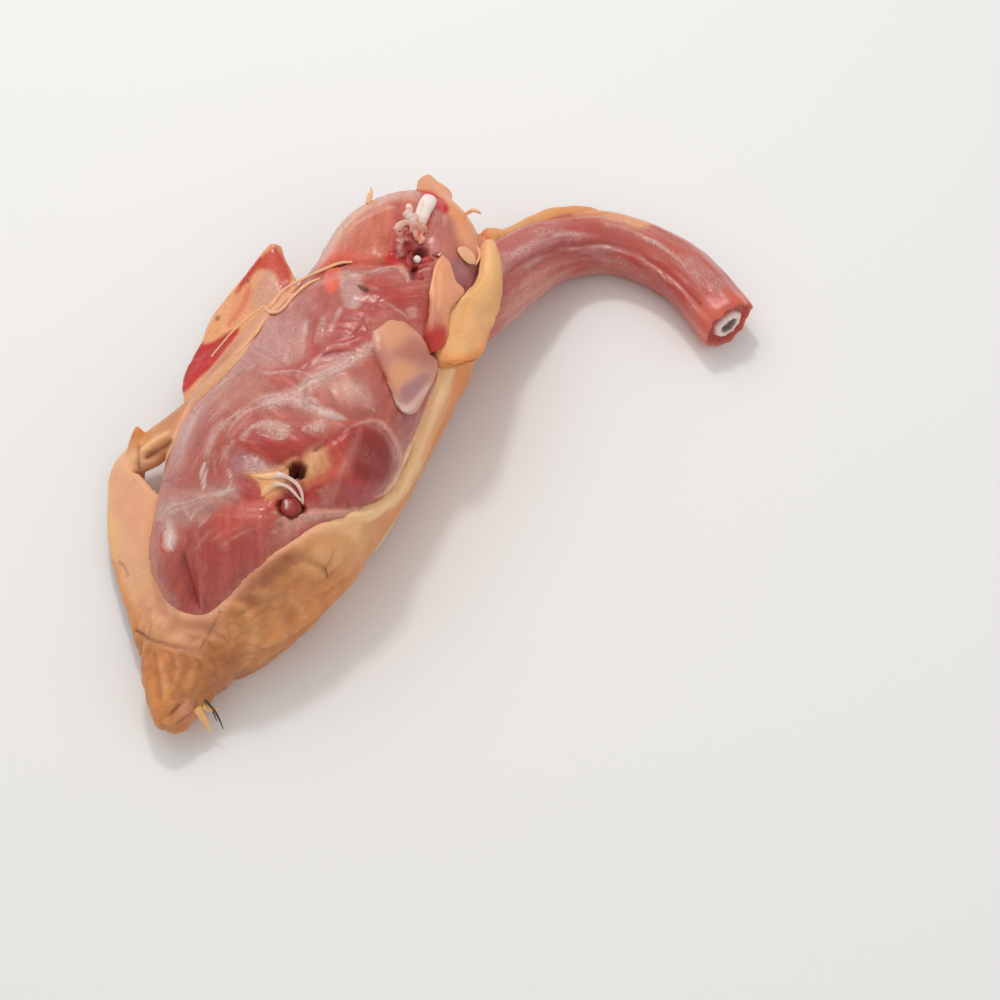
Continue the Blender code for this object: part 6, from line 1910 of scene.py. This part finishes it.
# %% Strands, disc, shreds and pin feathers
SKIN_STRANDS = (
    ((352, 262, 0.07, 0.43, 0.3), (340, 264, 0.35, 0.58, 0.38), (325, 270, 0.42, 0.65, 0.38),
     (312, 276.5, 0.42, 0.58, 0.38), (302, 283, 0.49, 0.65, 0.38), (291, 287.5, 0.56, 0.58, 0.38),
     (284, 292, 0.56, 0.58, 0.45), (278, 300, 0.63, 0.72, 0.52), (272, 307, 0.56, 0.79, 0.6),
     (266, 311, 0.21, 0.58, 0.45)),
    ((320, 279, 0.14, 0.43, 0.3), (310, 284, 0.35, 0.58, 0.38), (302, 290, 0.42, 0.58, 0.38),
     (293, 298.5, 0.42, 0.58, 0.38), (286, 307, 0.49, 0.65, 0.45), (279, 313, 0.56, 0.65, 0.45),
     (271, 313, 0.56, 0.72, 0.52), (266, 308, 0.42, 0.58, 0.45)),
    ((270, 314, 0.14, 0.58, 0.38), (264, 322, 0.28, 0.5, 0.3), (256, 334, 0.28, 0.43, 0.26),
     (246, 345, 0.21, 0.36, 0.22), (236, 354, 0.14, 0.36, 0.22)),
    ((266, 306, 0.21, 0.36, 0.26), (254, 315, 0.28, 0.36, 0.22), (240, 326, 0.28, 0.36, 0.22),
     (226, 341, 0.28, 0.32, 0.22), (212, 357, 0.21, 0.29, 0.22)),
)
COLLAR_STRANDS = (
    ((476, 247, 0.3, 0.5, 0.35), (478, 253, 0.6, 0.7, 0.4), (478, 260, 0.5, 0.5, 0.35),
     (475, 265, 0.2, 0.4, 0.3)),
    ((466, 214, 0.2, 0.7, 0.5), (470, 212, 0.9, 0.8, 0.6), (474, 213.5, 1.4, 0.6, 0.5),
     (477, 216, 1.6, 0.3, 0.3)),
    ((368, 203, 0, 0.9, 0.5), (371, 198.5, 0.6, 1, 0.6), (372.5, 194.5, 0.9, 0.6, 0.4),
     (372, 190.5, 1.1, 0.25, 0.2)),
)
TAIL_SHREDS = (
    ((197, 708, 0, 1.6, 0.7), (202, 715, 0.4, 1.3, 0.6), (206, 723, 0.2, 0.9, 0.5),
     (208, 731, 0.1, 0.3, 0.3)),
    ((203, 706, 0.2, 1.2, 0.6), (209, 707, 1, 0.9, 0.5), (213, 705, 1.6, 0.4, 0.3)),
)
PIN_FEATHERS = (
    ((205, 700, 0.2, 0.35, 0.35), (211, 706, 1.6, 0.33, 0.33), (216, 715, 1.4, 0.3, 0.3),
     (221, 727, 0.4, 0.14, 0.14)),
    ((209, 704, 0.2, 0.25, 0.25), (212, 712, 1.2, 0.22, 0.22), (214, 719, 0.9, 0.12, 0.12)),
    ((325, 568, 0, 0.14, 0.14), (326, 572, 0.5, 0.12, 0.12), (327, 578, 0.2, 0.08, 0.08)),
)
print("strands:", sum(map(len, (SKIN_STRANDS, COLLAR_STRANDS, TAIL_SHREDS, PIN_FEATHERS))))

# %% Loose pieces on the skin
def loose_piece(name, surface, all_stations, tissue, material, extra=()):
    """Strands on a surface, and further parts, as one object of one tissue that goes with the skin."""
    obj = new_piece(name, *joined([*(strand(surface, stations) for stations in all_stations), *extra]))
    points, _ = mesh_arrays(obj)
    uneven = 1 + 0.14 * lumps(points, 3, 401)[:, None]
    store(obj, tissue=TISSUES[tissue] * uneven, film=np.full(len(points), 0.3), grain=points)
    finish_piece(obj, material, "back_skin")


skin_surface = mesh_arrays(back_skin)
both_surfaces = tuple(np.concatenate(pair) for pair in zip(meat_surface, skin_surface))
loose_piece("skin_strands_piece", both_surfaces, SKIN_STRANDS, "strand", wet_cartilage)
disc_place, disc_normal = seen_on(skin_surface, (466, 256), 0.5)
disc = blob(disc_place, (4.2, 2.8, 0.7), 411, 0.15, -12, disc_normal[0])
loose_piece("collar_bits_piece", both_surfaces, COLLAR_STRANDS, "strand", wet_cartilage, [disc])
loose_piece("tail_shreds_piece", skin_surface, TAIL_SHREDS, "butter", plucked_skin)


def plain_finish(name, colour, **values):
    """A material of one colour with the given values on its shader."""
    material = bpy.data.materials.new(name)
    material.use_nodes = True
    shader = material.node_tree.nodes["Principled BSDF"]
    for key, value in {"Base_Color": (*linear(colour), 1.0), **values}.items():
        shader.inputs[key.replace("_", " ")].default_value = value
    return material


dark_quill = plain_finish("dark_quill", "#2c2420", Roughness=0.45, IOR=1.54)        # feather shafts are horn
# the quills take the near-black colour as their own dark, not as shade
loose_piece("pin_feathers_piece", skin_surface, PIN_FEATHERS, "pit", dark_quill)

# %% [markdown]
# ## Stage and light
#
# A plain pale floor, a pale world for the soft fill, one large light above and to the left, a
# weak one to the right, and a small bright one for the crisp glints on wet film. Large lights
# and a bright world keep the shadows faint and soft, as in a studio with diffusers.

# %% Floor, world and lights
FLOOR_HALF = 2500.0
WORLD_STRENGTH = 0.66
LOOKED_AT = np.array([0.0, 0.0, 20.0])

corners = FLOOR_HALF * MM * np.array([(-1, -1, 0), (1, -1, 0), (1, 1, 0), (-1, 1, 0)])
floor_mesh = bpy.data.meshes.new("floor")
floor_mesh.from_pydata(corners.tolist(), [], [(0, 1, 2, 3)])
floor_mesh.materials.append(plain_finish("pale_board", "#f0efed", Roughness=0.9, Specular_IOR_Level=0.1))
floor = bpy.data.objects.new("floor", floor_mesh)
bpy.context.scene.collection.objects.link(floor)

world = bpy.data.worlds.new("studio")
bpy.context.scene.world = world
world.use_nodes = True
background = world.node_tree.nodes["Background"]
background.inputs["Color"].default_value = (*linear("#f5f4f3"), 1.0)
background.inputs["Strength"].default_value = WORLD_STRENGTH


def soft_light(name, place, size, power):
    """A square light of a size in mm and a power in watts, at a place in mm, that looks at the carcass."""
    data = bpy.data.lights.new(name, "AREA")
    data.size = size * MM
    data.energy = power
    light = bpy.data.objects.new(name, data)
    bpy.context.scene.collection.objects.link(light)
    back = unit(np.array(place, float) - LOOKED_AT)
    right = unit(np.cross((0.0, 1.0, 0.0), back))
    turn = Matrix((right, np.cross(back, right), back)).transposed().to_4x4()
    turn.translation = np.array(place) * MM
    light.matrix_world = turn


soft_light("top_left_light", (-420, 320, 900), 800, 2.3)
soft_light("right_fill_light", (520, -260, 620), 700, 0.55)
soft_light("glint_light", (-250, 420, 850), 110, 2.0)
bpy.context.scene.view_settings.view_transform = "Standard"
